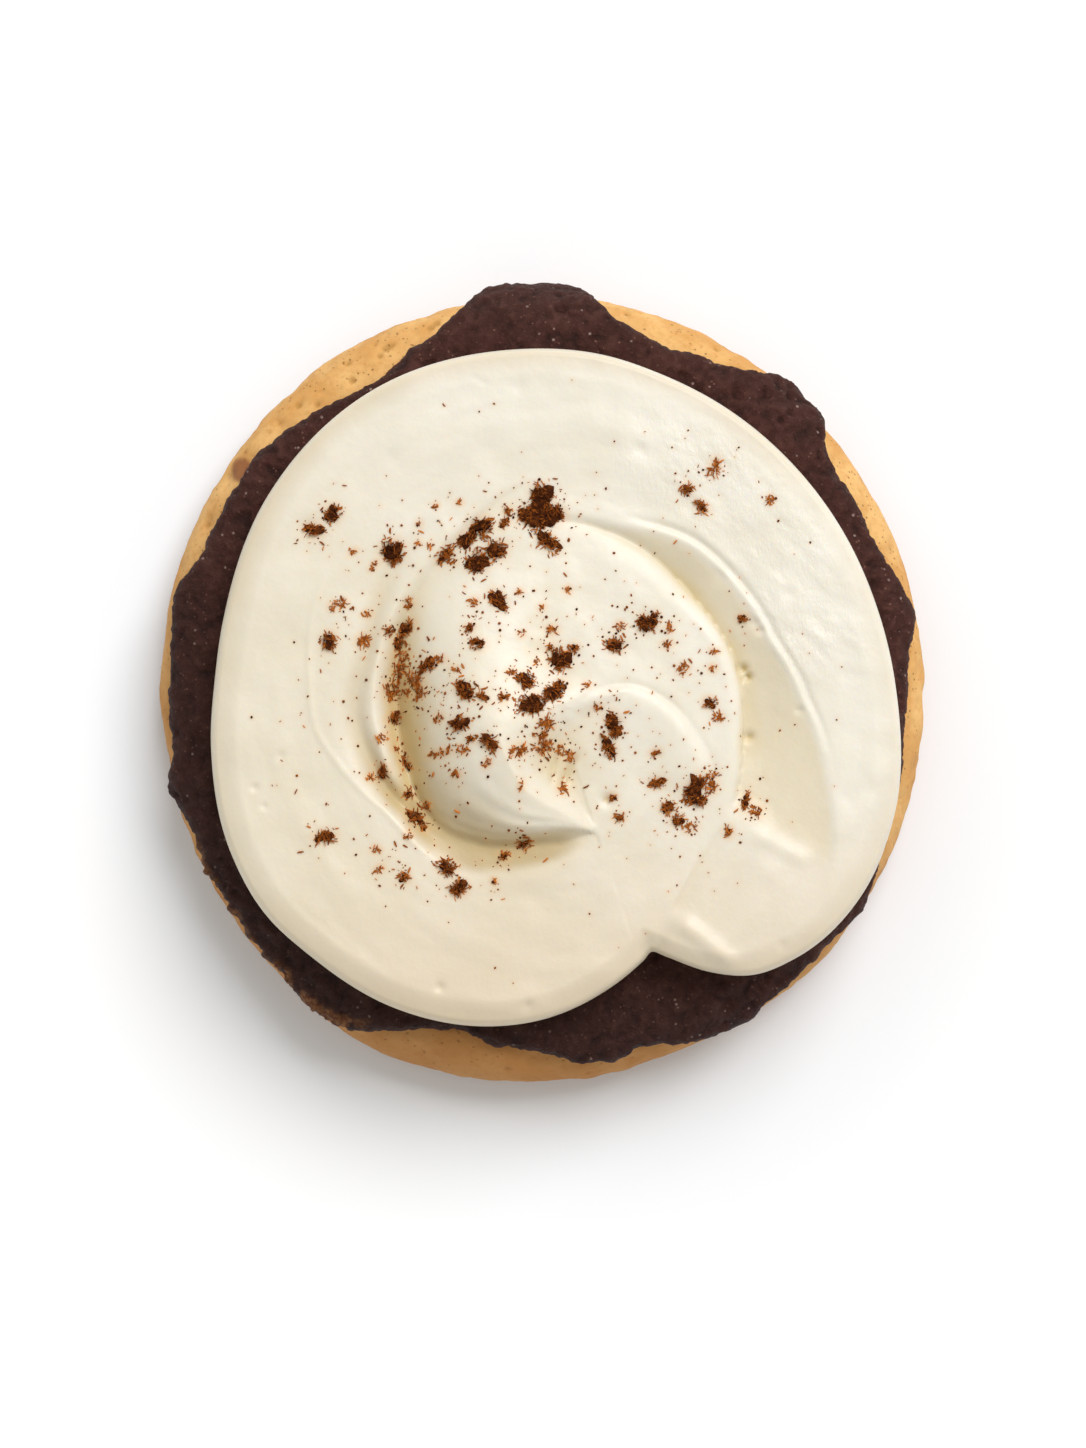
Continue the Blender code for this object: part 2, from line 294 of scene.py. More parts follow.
points = points_of(biscuit)
radius = np.hypot(points[:, 0], points[:, 1])
outwards = points[:, :2] / np.maximum(radius, 1e-9)[:, None]
angle = direction_of(points[:, 0], points[:, 1])
near_rim = ramp(radius, 20 * MM, BISCUIT_RADIUS - SHOULDER)
points[:, :2] += outwards * ((biscuit_edge(angle) - BISCUIT_RADIUS) * near_rim)[:, None]
in_foot = points[:, 2] < FOOT_INSET
raised = points[:, 2] + (BELLY_HEIGHT - FOOT_INSET)
points[:, 2] = np.where(in_foot, points[:, 2] * BELLY_HEIGHT / FOOT_INSET, raised)
low_side = ramp(points[:, 2], 0, 2.5 * MM) * (1 - ramp(points[:, 2], 5 * MM, 9 * MM))
round_line = places(BISCUIT_RADIUS, angle, 0 * angle)
scallops = 0.13 * cloud(round_line, 2.6 * MM, 4) + 0.08 * cloud(round_line, 1.3 * MM, 5)
points[:, :2] += outwards * (MM * scallops * low_side)[:, None]
move_points(biscuit, points)

# %% Small hollows in a skin
def round_the_side(count, chance, low=1.2 * MM, high=12.6 * MM):
    """Random places on the biscuit's shoulder and side."""
    turn = chance.uniform(-180, 180, count)
    height = chance.uniform(low, high, count)
    above = np.clip((height - BELLY_HEIGHT) / SHOULDER, 0, 1)
    inset = SHOULDER * (1 - np.sqrt(1 - above**2))
    out = biscuit_edge(turn) - inset
    return places(out, turn, height)


def press_in(points, normals, centres, sizes, depths):
    """Presses a small round hollow into the skin at each centre."""
    sink = np.zeros(len(points))
    for centre, size, depth in zip(centres, sizes, depths):
        near = np.flatnonzero(np.abs(points[:, 0] - centre[0]) < 2.5 * size)
        near = near[np.abs(points[near, 1] - centre[1]) < 2.5 * size]
        away = np.linalg.norm(points[near] - centre, axis=1)
        sink[near] = np.maximum(sink[near], depth * fade(away, size))
    return points - normals * sink[:, None]


# %% Dimple and dent the biscuit's skin
DIMPLE_COUNT = 260
DIMPLE_SIZES = (0.35 * MM, 1.5 * MM)
chance = np.random.default_rng(11)
DENTS = (
    (-20.6, 44.2, 0.7), (-19.9, 44.5, 0.5), (-21.4, 43.0, 0.5), (-25.0, 39.8, 0.55), (-25.6, 42.2, 0.5),
    (-32.0, 36.7, 0.6), (-44.0, 21.5, 0.65), (-43.6, 22.3, 0.5), (-14.2, 47.4, 0.6), (-14.9, 46.8, 0.6),
    (-22.1, 44.7, 0.4), (-29.5, 36.7, 0.5), (-34.5, 34.4, 0.4), (10.5, 48.6, 0.5), (22.0, 44.0, 0.5),
    (-5.0, -49.0, 0.5), (5.5, -49.5, 0.45), (47.6, 8.0, 0.5),
)
SMEAR = np.array([-39.6, 28.5, 11.0]) * MM
DENT_SHOWS = (0.06 * MM, 0.3 * MM)
SMEAR_FADES = (1.3 * MM, 2.6 * MM)


def dent_places():
    """The dents as points on the shoulder, with their sizes."""
    dents = np.array(DENTS) * MM
    edge = biscuit_edge(direction_of(dents[:, 0], dents[:, 1]))
    inset = np.clip((edge - np.hypot(dents[:, 0], dents[:, 1])) / SHOULDER, 0.02, 1)
    height = BELLY_HEIGHT + SHOULDER * np.sqrt(1 - (1 - inset) ** 2)
    return np.column_stack([dents[:, 0], dents[:, 1], height]), dents[:, 2]


points = points_of(biscuit)
normals = normals_of(biscuit)
off_the_tray = ramp(points[:, 2], 0.3 * MM, 2.0 * MM)
skin = off_the_tray * ramp(np.hypot(points[:, 0], points[:, 1]), 41 * MM, 43 * MM)
lumps = 0.15 * cloud(points, 7 * MM, 1) + 0.08 * cloud(points, 2.6 * MM, 2)
lumps = lumps + 0.05 * cloud(points, 0.9 * MM, 3)
points = points + normals * (MM * lumps * skin)[:, None]
dimples = round_the_side(DIMPLE_COUNT, chance)
dimple_sizes = chance.uniform(*DIMPLE_SIZES, DIMPLE_COUNT)
points = press_in(points, normals, dimples, dimple_sizes, 0.3 * dimple_sizes)
dents, dent_sizes = dent_places()
pressed = press_in(points, normals, dents, dent_sizes, 0.7 * dent_sizes)
mark(biscuit, "dent", ramp(np.linalg.norm(pressed - points, axis=1), *DENT_SHOWS))
from_smear = np.linalg.norm(points - SMEAR, axis=1) * (1 + 0.4 * cloud(points, 1.3 * MM, 6))
mark(biscuit, "smear", 1 - ramp(from_smear, *SMEAR_FADES))
move_points(biscuit, pressed)
print("biscuit given", DIMPLE_COUNT, "dimples and", len(dents), "dents")

# %% [markdown]
# ## The spread's shape
#
# The spread was pushed out to the rim while soft, so it ends in a thick rounded lip, laps further down
# in lobes and stops short between them. It is rolled out flat first: a thin cylinder whose top rim is
# bevelled into the lip, with ring after ring inset from it for small faces. It is then draped: each
# point's distance past the shoulder's start becomes a distance along the biscuit's skin, and its
# height above the board becomes its lift off that skin.

# %% Roll the spread out flat
GAP = 0.3 * MM
UNDERLAP = 0.5 * MM
SPREAD_THICK = 2.6 * MM
SPREAD_THINNING = 1.0 * MM
SPREAD_LIP = 2.2 * MM
SPREAD_COLUMNS = 1250
SPREAD_INNER = -8.0 * MM
FLAT_REACH = 8.0 * MM
FLAT_START = BISCUIT_RADIUS - SHOULDER
RING_WIDTH = 0.28 * MM
LIP_SHARE = 0.98
LIP_RINGS = 12

bpy.ops.object.select_all(action="DESELECT")
bpy.ops.mesh.primitive_cylinder_add(
    vertices=SPREAD_COLUMNS,
    radius=FLAT_START + FLAT_REACH,
    depth=SPREAD_LIP,
    location=(0, 0, SPREAD_LIP / 2),
    end_fill_type="NGON",
)
spread = bpy.context.active_object
spread.name = "cinnamon_spread_layer"
bpy.ops.object.transform_apply(location=True, rotation=True, scale=True)
bevel_rim(spread, SPREAD_LIP, LIP_SHARE * SPREAD_LIP, LIP_RINGS)
bpy.ops.object.mode_set(mode="EDIT")
select_faces(spread, lambda centre, normal: normal.z > 0.999 and centre.xy.length < MM)
ring_count = int((FLAT_REACH - SPREAD_LIP - SPREAD_INNER) / RING_WIDTH)
for ring in range(ring_count):
    bpy.ops.mesh.inset(thickness=RING_WIDTH, use_individual=True)
bpy.ops.object.mode_set(mode="OBJECT")
fill_caps(spread, (12 * MM,))
close_up(spread)

# %% Drape the spread over the biscuit
SPREAD_LINE = (
    (0, 4.4), (6, 4.8), (11, 6.6), (16, 5.6), (22, 4.4), (30, 4.1), (38, 4.3), (42, 5.6), (44.5, 8.0),
    (47, 8.6), (50, 9.4), (53, 8.6), (56, 6.6), (60, 4.9), (65, 3.9), (70, 3.2), (76, 3.7), (81, 5.6),
    (85, 9.9), (90, 11.8), (95, 12.4), (99, 10.0), (103, 6.2), (107, 3.8), (112, 2.5), (120, 1.6),
    (130, 2.5), (140, 3.9), (150, 4.1), (160, 4.5), (165, 6.4), (170, 6.2), (176, 5.5), (184, 5.5),
    (190, 6.2), (195, 7.8), (200, 6.4), (210, 6.5), (220, 6.6), (226, 6.6), (234, 7.0), (240, 6.2),
    (244, 4.2), (249, 2.4), (255, 1.0), (260, 1.7), (266, 2.5), (271, 3.1), (275, 4.5), (280, 5.2),
    (286, 4.7), (291, 6.0), (296, 7.9), (301, 8.0), (306, 7.0), (312, 6.4), (320, 6.5), (325, 7.6),
    (330, 6.4), (337, 5.3), (345, 4.7), (353, 4.1),
)


def skin_point(along, angle, lift=0.0):
    """Distance from the middle and height of a point on the biscuit's skin, lifted off it by lift.

    along runs outwards from the start of the shoulder, so it is negative on the flat top."""
    shoulder_start = biscuit_edge(angle) - SHOULDER
    turned = np.clip(along, 0, SHOULDER_LENGTH) / SHOULDER
    level = np.minimum(along, 0)
    fallen = np.maximum(along - SHOULDER_LENGTH, 0)
    radius = shoulder_start + level + (SHOULDER + lift) * np.sin(turned)
    height = BELLY_HEIGHT + (SHOULDER + lift) * np.cos(turned) - fallen
    return radius, height


def spread_reach(angle):
    """How far past the start of the shoulder the spread runs, with its ragged edge."""
    reach = MM * smooth_line(SPREAD_LINE, closed=True)(angle)
    round_line = places(BISCUIT_RADIUS, angle, 0 * angle)
    worn = 1 + 1.6 * window(np.mod(angle, 360), (196, 206, 236, 242))
    ragged = 0.26 * cloud(round_line, 4.4 * MM, 21) + 0.10 * cloud(round_line, 1.7 * MM, 22)
    return reach + MM * (ragged + 0.11 * worn * cloud(round_line, 0.6 * MM, 23))


def spread_full(along):
    """The spread's thickness away from its lip, thinner as it runs down the shoulder."""
    return SPREAD_THICK - SPREAD_THINNING * ramp(along, 0, SHOULDER_LENGTH)


points = points_of(spread)
angle = direction_of(points[:, 0], points[:, 1])
reach = spread_reach(angle)
flat_along = np.hypot(points[:, 0], points[:, 1]) - FLAT_START
stretched = SPREAD_INNER + (flat_along - SPREAD_INNER) * (reach - SPREAD_INNER) / (FLAT_REACH - SPREAD_INNER)
along = np.where(flat_along > SPREAD_INNER, stretched, flat_along)
rise = points[:, 2] / SPREAD_LIP
lift = -UNDERLAP + rise * (GAP + UNDERLAP + spread_full(along))
radius, height = skin_point(along, angle, lift)
radius = np.maximum(radius, 0)
move_points(spread, places(radius, angle, height))
print("spread draped, reaching", np.round(reach.min() / MM, 1), "to", np.round(reach.max() / MM, 1), "mm")

# %% [markdown]
# The spread is a coarse paste of sugar, cinnamon and crumbs. Close up it is all small grains, with low
# waves from the spoon and a few deep pits where air broke through. Waves and grains are clouds of four
# sizes moved along the normals. The grains' clouds are pushed about by another cloud first, which
# hides their square cells. At the lower left the edge has dried to paler crumbs, so its fringe is
# heaped higher there and marked. The pits are pressed in like the biscuit's dimples.

# %% Roughen the spread
PIT_COUNT = 260
SPREAD_HOLLOWS = (
    (53, 3.6 * MM, 1.1 * MM), (50, 5.4 * MM, 0.9 * MM), (48.5, 4.0 * MM, 0.8 * MM), (57, 1.6 * MM, 0.9 * MM),
    (36, 3.6 * MM, 1.0 * MM), (300, 3.0 * MM, 1.0 * MM), (88, 4.0 * MM, 0.9 * MM),
)
FRINGE_SPAN = (200, 207, 239, 243)
FRINGE_WIDTH = ((222, 0.7), (231, 1.7))

points = points_of(spread)
normals = normals_of(spread)
exposed = (rise > 0.02) * ramp(np.hypot(points[:, 0], points[:, 1]), 34 * MM, 35.5 * MM)
waves = 0.26 * cloud(points, 5.5 * MM, 31) + 0.20 * cloud(points, 2.2 * MM, 32)
drift = MM * np.column_stack([cloud(points, 1.9 * MM, seed) for seed in (36, 37, 38)])
grains = 0.20 * cloud(points + drift, 1.2 * MM, 33) + 0.15 * cloud(points + drift, 0.6 * MM, 34)
short_of_edge = spread_reach(angle) - along
way_round = np.mod(angle, 360)
fringe = MM * change(way_round, FRINGE_WIDTH)
crumbly = window(way_round, FRINGE_SPAN) * (1 - ramp(short_of_edge - fringe, 0.4 * MM, 1.3 * MM))
crumbly = crumbly * ramp(cloud(points, 1.0 * MM, 35), -0.5, 0.1)
heaped = 0.4 * crumbly * (cloud(points + drift, 0.8 * MM, 39) + 0.3)
points = points + normals * (MM * (waves + grains + heaped) * exposed)[:, None]
# The grains' relief is marked for painted shade between the grains and a painted highlight on their tops.
mark(spread, "grain_shading", np.clip(0.5 + 1.6 * (grains + 0.2 * waves), 0, 1))
mark(spread, "thin", 1 - ramp(rise, 0.25, 0.75))
mark(spread, "orange", crumbly)

# %% Pit the spread
turn = chance.uniform(-180, 180, PIT_COUNT)
run = SPREAD_INNER + chance.uniform(0.1, 1.0, PIT_COUNT) * (spread_reach(turn) - SPREAD_INNER)
pit_sizes = chance.uniform(0.22, 0.6, PIT_COUNT) * MM
hollows = np.array(SPREAD_HOLLOWS)
turn = np.concatenate([turn, hollows[:, 0]])
run = np.concatenate([run, hollows[:, 1]])
pit_sizes = np.concatenate([pit_sizes, hollows[:, 2]])
pit_radius, pit_height = skin_point(run, turn, GAP + spread_full(run))
pits = places(pit_radius, turn, pit_height)
points = press_in(points, normals * exposed[:, None], pits, pit_sizes, 0.7 * pit_sizes)
move_points(spread, points)
print("spread roughened with", len(pits), "pits")

# %% [markdown]
# ## The frosting's shape
#
# The frosting was dropped in the middle and drawn round with a spatula in one broad anticlockwise
# swirl. Its outer ring ends in the lobe at the lower right. Inside it lie a second, rounded turn with
# a trough along its right side, a mound drawn out into a point, and a small last curl.
# A fine square grid has even faces all over, which a ring of segments hasn't, so the small marks come
# out as sharp in the middle as at the rim. Its squares within squares are moved to circles within
# circles, the outer ones are wrapped over the rounded rim, and the rest take the height of the swirl.

# %% Height and edge of the frosting
FROSTING_RISE = 7.5 * MM
FROSTING_LEVEL = BISCUIT_HEIGHT + GAP + SPREAD_THICK + GAP + FROSTING_RISE
FROSTING_TUCK = 1.7 * MM
FROSTING_BELLY = 4.2 * MM
FROSTING_RIM = 1.2 * MM
RIM_SQUARENESS = 2.3
FROSTING_EDGE = (
    (0, 44.9), (12, 43.9), (30, 43.2), (60, 43.1), (70, 43.3), (80, 43.8), (95, 44.1), (120, 44.7),
    (145, 43.8), (168, 42.6), (178, 42.7), (190, 43.8), (208, 45.7), (219, 46.2), (228, 45.7),
    (245, 45.2), (260, 43.8), (270, 42.1), (281, 39.3), (290, 36.7), (292, 36.1), (294, 37.3),
    (300, 41.7), (305, 44.7), (313, 47.0), (326, 48.3), (340, 47.5),
)
FROSTING_BITE = 0.2 * MM
EDGE_NEARER = 0.979
EDGE_DRAWN_OUT = (0.25 * MM, 290)

# %% [markdown]
# The swirl is drawn with lines round a hub, each a few (direction, distance) stations in degrees and
# millimetres, as seen from above. A turn has a foot, where it rises from the one outside it, and a
# ridge. A height or depth along a line is given in the same way. One view can't measure those, so they
# are guesses from the shading. The camera stands near, so the top of the frosting looks larger than it
# is. AIM is the point right below the camera, and NEARER says how much a place seen there shrinks.

# %% Lines of the outer turns
SWIRL = (1.2, -1.9)
TURN_FOOT = (
    (-68, 34.6), (-61, 31.0), (-54, 29.0), (-41, 27.1), (-27, 26.0), (-10, 24.5), (11, 23.9), (40, 22.5),
    (57, 22.8), (70, 23.2), (95, 24.0), (130, 26.0), (148, 26.3), (165, 25.3), (185, 25.1), (197, 25.6),
    (215, 24.6), (240, 25.0),
)
OUTER_RIDGE = (
    (-34, 42.0), (-30, 41.2), (-25.5, 40.0), (-18.8, 37.9), (-11.5, 35.5), (-3.5, 33.2), (1.1, 31.9),
    (5.9, 31.0), (11.2, 29.9), (16.9, 28.9), (22.5, 28.5), (28.3, 28.1), (37, 27.6), (50.5, 26.9),
    (66.7, 25.2), (84, 24.9), (100, 25.0),
)
TROUGH_DEPTH = (
    (-40, 0.5), (-30, 0.6), (-24, 1.0), (-12, 1.5), (5, 1.8), (20, 1.9), (45, 2.0), (58, 1.5),
    (70, 1.0), (82, 0.5), (96, 0.0),
)
TROUGH_BEND = ((-40, 0.45), (-26, 0.45), (-12, 0.9), (5, 1.0), (45, 1.5), (100, 1.5))
LEFT_CREASE = (
    (150, 34.2), (162, 33.1), (175, 31.8), (186, 31.0), (194, 29.3), (203, 27.5), (212, 25.9),
    (224, 25.4), (236, 25.4), (250, 25.4),
)

# %% Lines of the mound and the curl
MOUND_HUB = (10.8, 0.0)
MOUND_CREST = (
    (112, 21.5), (130, 21.0), (150, 20.5), (174, 19.2), (191, 18.1), (208, 18.0), (220, 18.4), (232, 18.2),
    (239, 17.9), (249, 18.2), (256, 18.9), (262, 19.8),
)
MOUND_HEIGHT = (
    (112, 0.0), (135, 0.4), (158, 1.4), (180, 3.2), (200, 4.4), (215, 4.3), (228, 3.3), (240, 2.1),
    (250, 1.1), (255, 0.5), (257.5, 0.0),
)
MOUND_FOOT = (
    (112, 29.6), (150, 29.8), (163, 30.4), (172, 30.2), (180, 30.1), (190, 30.5), (200, 30.6), (206, 30.5),
    (212, 29.8), (217, 28.6), (222, 27.2), (229, 25.0), (236, 22.4), (243, 20.5), (250, 19.4), (256, 19.0),
    (262, 19.8),
)
FOOT_LEVEL = (
    (112, 0.0), (145, -0.5), (157, -0.9), (165, -1.7), (180, -3.0), (200, -3.2), (208, -2.2), (216, -0.5),
    (224, 0.5), (232, 1.1), (240, 1.0), (250, 0.5), (256, 0.1), (258, 0.0),
)
VALLEY_DEPTH = (
    (112, 0.0), (145, 0.5), (157, 0.9), (165, 1.7), (180, 3.0), (200, 3.3), (208, 2.7), (218, 1.4),
    (232, 0.4), (242, 0.2), (250, 0.1), (257, 0.0),
)
BANK_TOP = (
    (112, 30.6), (146, 31.0), (158, 32.0), (170, 32.7), (183, 33.2), (193, 32.9), (200, 32.9), (208, 32.5),
    (216, 31.8), (230, 29.0), (257, 22.0),
)
SHORE = (
    (112, 34.0), (198, 34.8), (204, 35.2), (210, 34.6), (216, 34.4), (222, 34.8), (228, 34.4), (234, 32.4),
    (241, 29.0), (250, 24.6), (257, 21.4),
)
SHORE_FLAT = ((112, 0.6), (205, 0.6), (213, 0.35), (220, 0.1), (228, 0.0), (257, 0.0))
TONGUE = (206, 220, 245, 255)
TONGUE_WALL = 1.9
FLANK_BEND = ((112, 1.9), (205, 1.9), (218, 1.95), (226, 2.6), (233, 3.8), (245, 4.4), (262, 4.4))
GROOVE_LINE = (
    (138, 33.2), (159, 34.3), (171, 34.2), (186, 35.4), (194, 34.7), (200, 34.0), (206, 33.2), (212, 32.4),
)
GROOVE_DEPTH = (
    (138, 0.0), (148, 0.3), (159, 0.5), (171, 0.7), (186, 1.0), (195, 1.5), (200, 1.8), (216, 1.8),
)
SHADE_EDGE = (
    (165, 30.5), (175, 31.0), (185, 30.8), (193, 30.6), (200, 30.9), (205, 31.8), (210, 33.8),
    (214, 34.0), (220, 33.2), (226, 32.3), (234, 29.0), (243, 25.5), (250, 22.8), (257, 19.4),
)
CURL_HUB = (10.8, -10.3)
CURL_FOLD = (
    (-30, 8.9), (1, 8.7), (25, 7.9), (62, 8.2), (90, 9.1), (117, 9.1), (142, 8.7), (165, 8.5), (200, 8.3),
)

# %% Places round a hub, and places as the photograph shows them
AIM = (-0.4, -4.4)
NEARER = 0.975


def polar(x, y, hub, first):
    """Distance and direction from a hub, with directions counted up from first."""
    return np.hypot(x - hub[0], y - hub[1]), np.mod(direction_of(x - hub[0], y - hub[1]) - first, 360) + first


def as_seen(x, y):
    """Where the photograph shows a point of the frosting's top, in millimetres at the biscuit's height."""
    return AIM[0] + (x - AIM[0]) / NEARER, AIM[1] + (y - AIM[1]) / NEARER


def on_top(x, y):
    """The point of the frosting's top that the photograph shows at (x, y)."""
    return AIM[0] + (x - AIM[0]) * NEARER, AIM[1] + (y - AIM[1]) * NEARER


# %% Height of the outer turns, in millimetres
FOLD_SPAN = (-14, 4, 56, 72)
THIN_LINE_SPAN = (146, 165, 232, 242)
SEAM_SPAN = (-66, -58, -42, -31)
CLEFT_SPAN = (-72, -70, -67, -60)
DOME = (3.0, 1.5)


def outer_turns(x, y):
    """The outer ring and the second turn: two rounded rolls with a trough between them at the right,
    a groove at the left and a cleft at the lower right."""
    radius, angle = polar(x, y, SWIRL, -72)
    foot = smooth_line(TURN_FOOT)(angle)
    past_foot = radius - foot
    ridge = smooth_line(OUTER_RIDGE)(angle)
    across = np.clip(past_foot / np.maximum(ridge - foot, 1.0), 0, 1)
    tail = 4 * ramp(radius, 30, 34)
    deep = smooth_line(TROUGH_DEPTH)(angle) * (1 - ramp(-angle - tail, 24.5, 34.5))
    trough = -deep * (1 - across) ** smooth_line(TROUGH_BEND)(angle)
    past_ridge = radius - ridge
    folds = 0.16 * fade(past_ridge - 0.1, 0.45) - 0.34 * fade(past_ridge - 1.0, 0.36)
    folds = folds + 0.05 * window(angle, (18, 28, 52, 66)) * fade(past_ridge - 2.0, 0.5)
    folds = folds * window(angle, FOLD_SPAN)
    from_crease = radius - smooth_line(LEFT_CREASE)(angle)
    thin_line = 0.14 * window(angle, THIN_LINE_SPAN) * fade(from_crease, 0.4)
    seam = 0.3 * window(angle, SEAM_SPAN) * (1 - ramp(past_foot, 0, 3))
    outside = trough + folds + thin_line - seam
    lip_width = change(angle, ((20, 1.9), (70, 3.4)))
    inside = -deep * (1 - quarter_round(-past_foot / lip_width, 2.2)) - seam * (1 - ramp(-past_foot, 0, 0.9))
    cleft = 0.45 * window(angle, CLEFT_SPAN) * fade(past_foot, 1.3, 1.6)
    dome = 1.0 * fade(np.hypot(x - DOME[0], y - DOME[1]), 17, 3)
    return np.where(past_foot > 0, outside, inside) - cleft + dome


# %% Height of the mound, in millimetres
def mound_rise(x, y):
    """What the mound adds, with its drawn-out point and the valley round its left foot."""
    radius, angle = polar(x, y, MOUND_HUB, 80)
    crest = smooth_line(MOUND_CREST)(angle)
    foot = smooth_line(MOUND_FOOT)(angle)
    high = smooth_line(MOUND_HEIGHT)(angle)
    foot_level = smooth_line(FOOT_LEVEL)(angle)
    floor = np.minimum(-smooth_line(VALLEY_DEPTH)(angle), -0.01)
    out = np.clip((radius - crest) / np.maximum(foot - crest, 0.3), 0, 1)
    flank = high - (high - foot_level) * out ** smooth_line(FLANK_BEND)(angle)
    lines = np.sin(out * 21) * window(out, (0.1, 0.5, 0.85, 0.97))
    flank = flank + 0.09 * window(angle, (206, 218, 246, 253)) * lines
    past_foot = radius - foot
    wall = 0.05 + TONGUE_WALL * window(angle, TONGUE)
    drop = foot_level + (floor - foot_level) * ramp(past_foot, 0, wall)
    from_groove = radius - smooth_line(GROOVE_LINE)(angle)
    groove = fade(from_groove / np.where(from_groove > 0, change(angle, ((175, 1.3), (200, 1.5))), 1.3), 1.0)
    up_bank = np.clip((past_foot - wall) / (smooth_line(BANK_TOP)(angle) - foot - wall), 0, 1)
    to_shore = np.clip((past_foot - wall) / (smooth_line(SHORE)(angle) - foot - wall), 0, 1)
    level_floor = 1 - ramp(to_shore, smooth_line(SHORE_FLAT)(angle), 1)
    no_ridge = ramp(angle, 199, 211)
    bank = (1 - up_bank) ** 1.25 - smooth_line(GROOVE_DEPTH)(angle) * groove / floor
    bank = floor * (bank + (level_floor - bank) * no_ridge)
    left_side = np.where(past_foot < 0, flank, np.where(past_foot < wall, drop, bank))
    from_crest = radius - crest
    inner = 9.5 - 4.0 * ramp(angle, 185, 235) - 4.0 * ramp(angle, 226, 254)
    rolling = fade(from_crest, inner, 2)
    falling = (1 - np.clip(-from_crest / inner, 0, 1)) ** 1.9
    right_side = high * (rolling + (falling - rolling) * 0.9 * ramp(angle, 190, 224))
    return np.where(from_crest > 0, left_side, right_side)


# %% Height of the curl, in millimetres
def curl_rise(x, y):
    """The low fold of the innermost curl, whose inside is nearly as high as the fold."""
    radius, angle = polar(x, y, CURL_HUB, -80)
    from_fold = radius - smooth_line(CURL_FOLD)(angle)
    shown = window(angle, (-35, 5, 80, 145))
    fold = np.where(from_fold < 0, 1 - ramp(-from_fold, 0, 8.4), 1 - np.clip(from_fold / 1.9, 0, 1) ** 2)
    return shown * (0.55 * fold - 0.12 * fade(from_fold - 2.0, 0.5))


# %% Short marks of the spatula
CREASES = (
    ((4.0, -8.0), (1.9, -12.6), 0.4, 0.45),
    ((1.2, -8.6), (0.6, -12.2), 0.3, 0.4),
    ((-5.4, -16.6), (0.9, -17.6), 0.12, 0.4),
    ((16.2, -29.0), (25.2, -36.0), -0.6, 1.3),
    ((26.5, -18.2), (34.2, -22.4), -0.3, 1.1),
    ((20.1, -20.0), (18.3, -25.4), 0.08, 0.6),
    ((37.1, -19.6), (43.0, -13.1), -0.13, 1.0),
    ((38.0, -14.5), (42.6, -12.0), 0.2, 2.2),
    ((-9.4, 40.3), (-7.6, 39.6), 0.10, 0.4),
    ((-40.5, -9.0), (-37.0, -18.0), 0.05, 0.8),
    ((-33.0, -27.0), (-24.0, -34.5), 0.06, 0.7),
)


def creases(x, y):
    """Short marks of the spatula, each (start, end, depth, half width). A ridge has a depth below 0."""
    total = 0
    for start, end, depth, half_width in CREASES:
        length = np.hypot(end[0] - start[0], end[1] - start[1])
        ahead = ((x - start[0]) * (end[0] - start[0]) + (y - start[1]) * (end[1] - start[1])) / length
        aside = ((y - start[1]) * (end[0] - start[0]) - (x - start[0]) * (end[1] - start[1])) / length
        shown = window(ahead, (-0.6, 0.25 * length, 0.75 * length, length + 0.6))
        total = total - depth * shown * fade(aside, half_width)
    return total


# %% Texture that the spatula leaves
def crinkled_patch(x, y):
    """1 where the spatula lifted off and left the frosting crinkled, at the upper right."""
    radius, angle = polar(x, y, SWIRL, -72)
    flat = np.column_stack([x, y, 0 * x])
    patch = window(angle, (-4, 14, 62, 84)) * window(radius, (27, 30.5, 39, 43))
    return patch * (0.6 + 0.4 * cloud(flat, 3.5, 47))


def spatula_texture(x, y):
    """Soft waves drawn along the turns, and the crinkled patch at the upper right."""
    radius, angle = polar(x, y, SWIRL, -72)
    drawn = np.column_stack([radius, angle * 0.15, 0 * radius])
    flat = np.column_stack([x, y, 0 * x])
    streaks = 0.09 * cloud(drawn, 3.6, 40) + 0.045 * cloud(drawn, 1.8, 41) + 0.02 * cloud(drawn, 1.0, 42)
    waves = 0.12 * cloud(flat, 6.0, 43) + 0.05 * cloud(flat, 2.6, 44)
    slanted = np.column_stack([(x + y) * 1.2, (x - y) * 0.55, 0 * x])
    crinkles = 0.10 * cloud(slanted, 2.4, 45) + 0.05 * cloud(slanted, 1.1, 46)
    return streaks + waves + crinkled_patch(x, y) * crinkles


# %% Where shade is painted on the cream
def shaded_trough(x, y):
    """1 on the trough's slope, which turns away from the light."""
    radius, angle = polar(x, y, SWIRL, -72)
    past_foot = radius - smooth_line(TURN_FOOT)(angle)
    short_of_ridge = smooth_line(OUTER_RIDGE)(angle) - radius
    slope = ramp(past_foot, 0, 0.8) * ramp(short_of_ridge, 0, 1.4)
    return slope * window(angle, (-33, -27, 60, 95))


def valley_shadow(x, y):
    """1 where a shadow is painted on the cream: in the groove at the left and below the tongue."""
    radius, angle = polar(x, y, MOUND_HUB, 80)
    from_groove = radius - smooth_line(GROOVE_LINE)(angle)
    how_deep = 0.42 + 0.4 * ramp(angle, 188, 200)
    groove = how_deep * window(angle, (150, 172, 204, 212)) * fade(from_groove, 1.6)
    past_foot = radius - smooth_line(MOUND_FOOT)(angle)
    floor = ramp(past_foot, change(angle, ((214, -8.0), (238, -1.0))), 0.5)
    floor = floor * (1 - ramp(radius - smooth_line(SHADE_EDGE)(angle), -1.6, 0.7))
    return np.maximum(groove, floor * window(angle, (166, 184, 244, 256)))


# %% The whole relief
HOLLOW_BY_CURL = (2.6, -11.8)


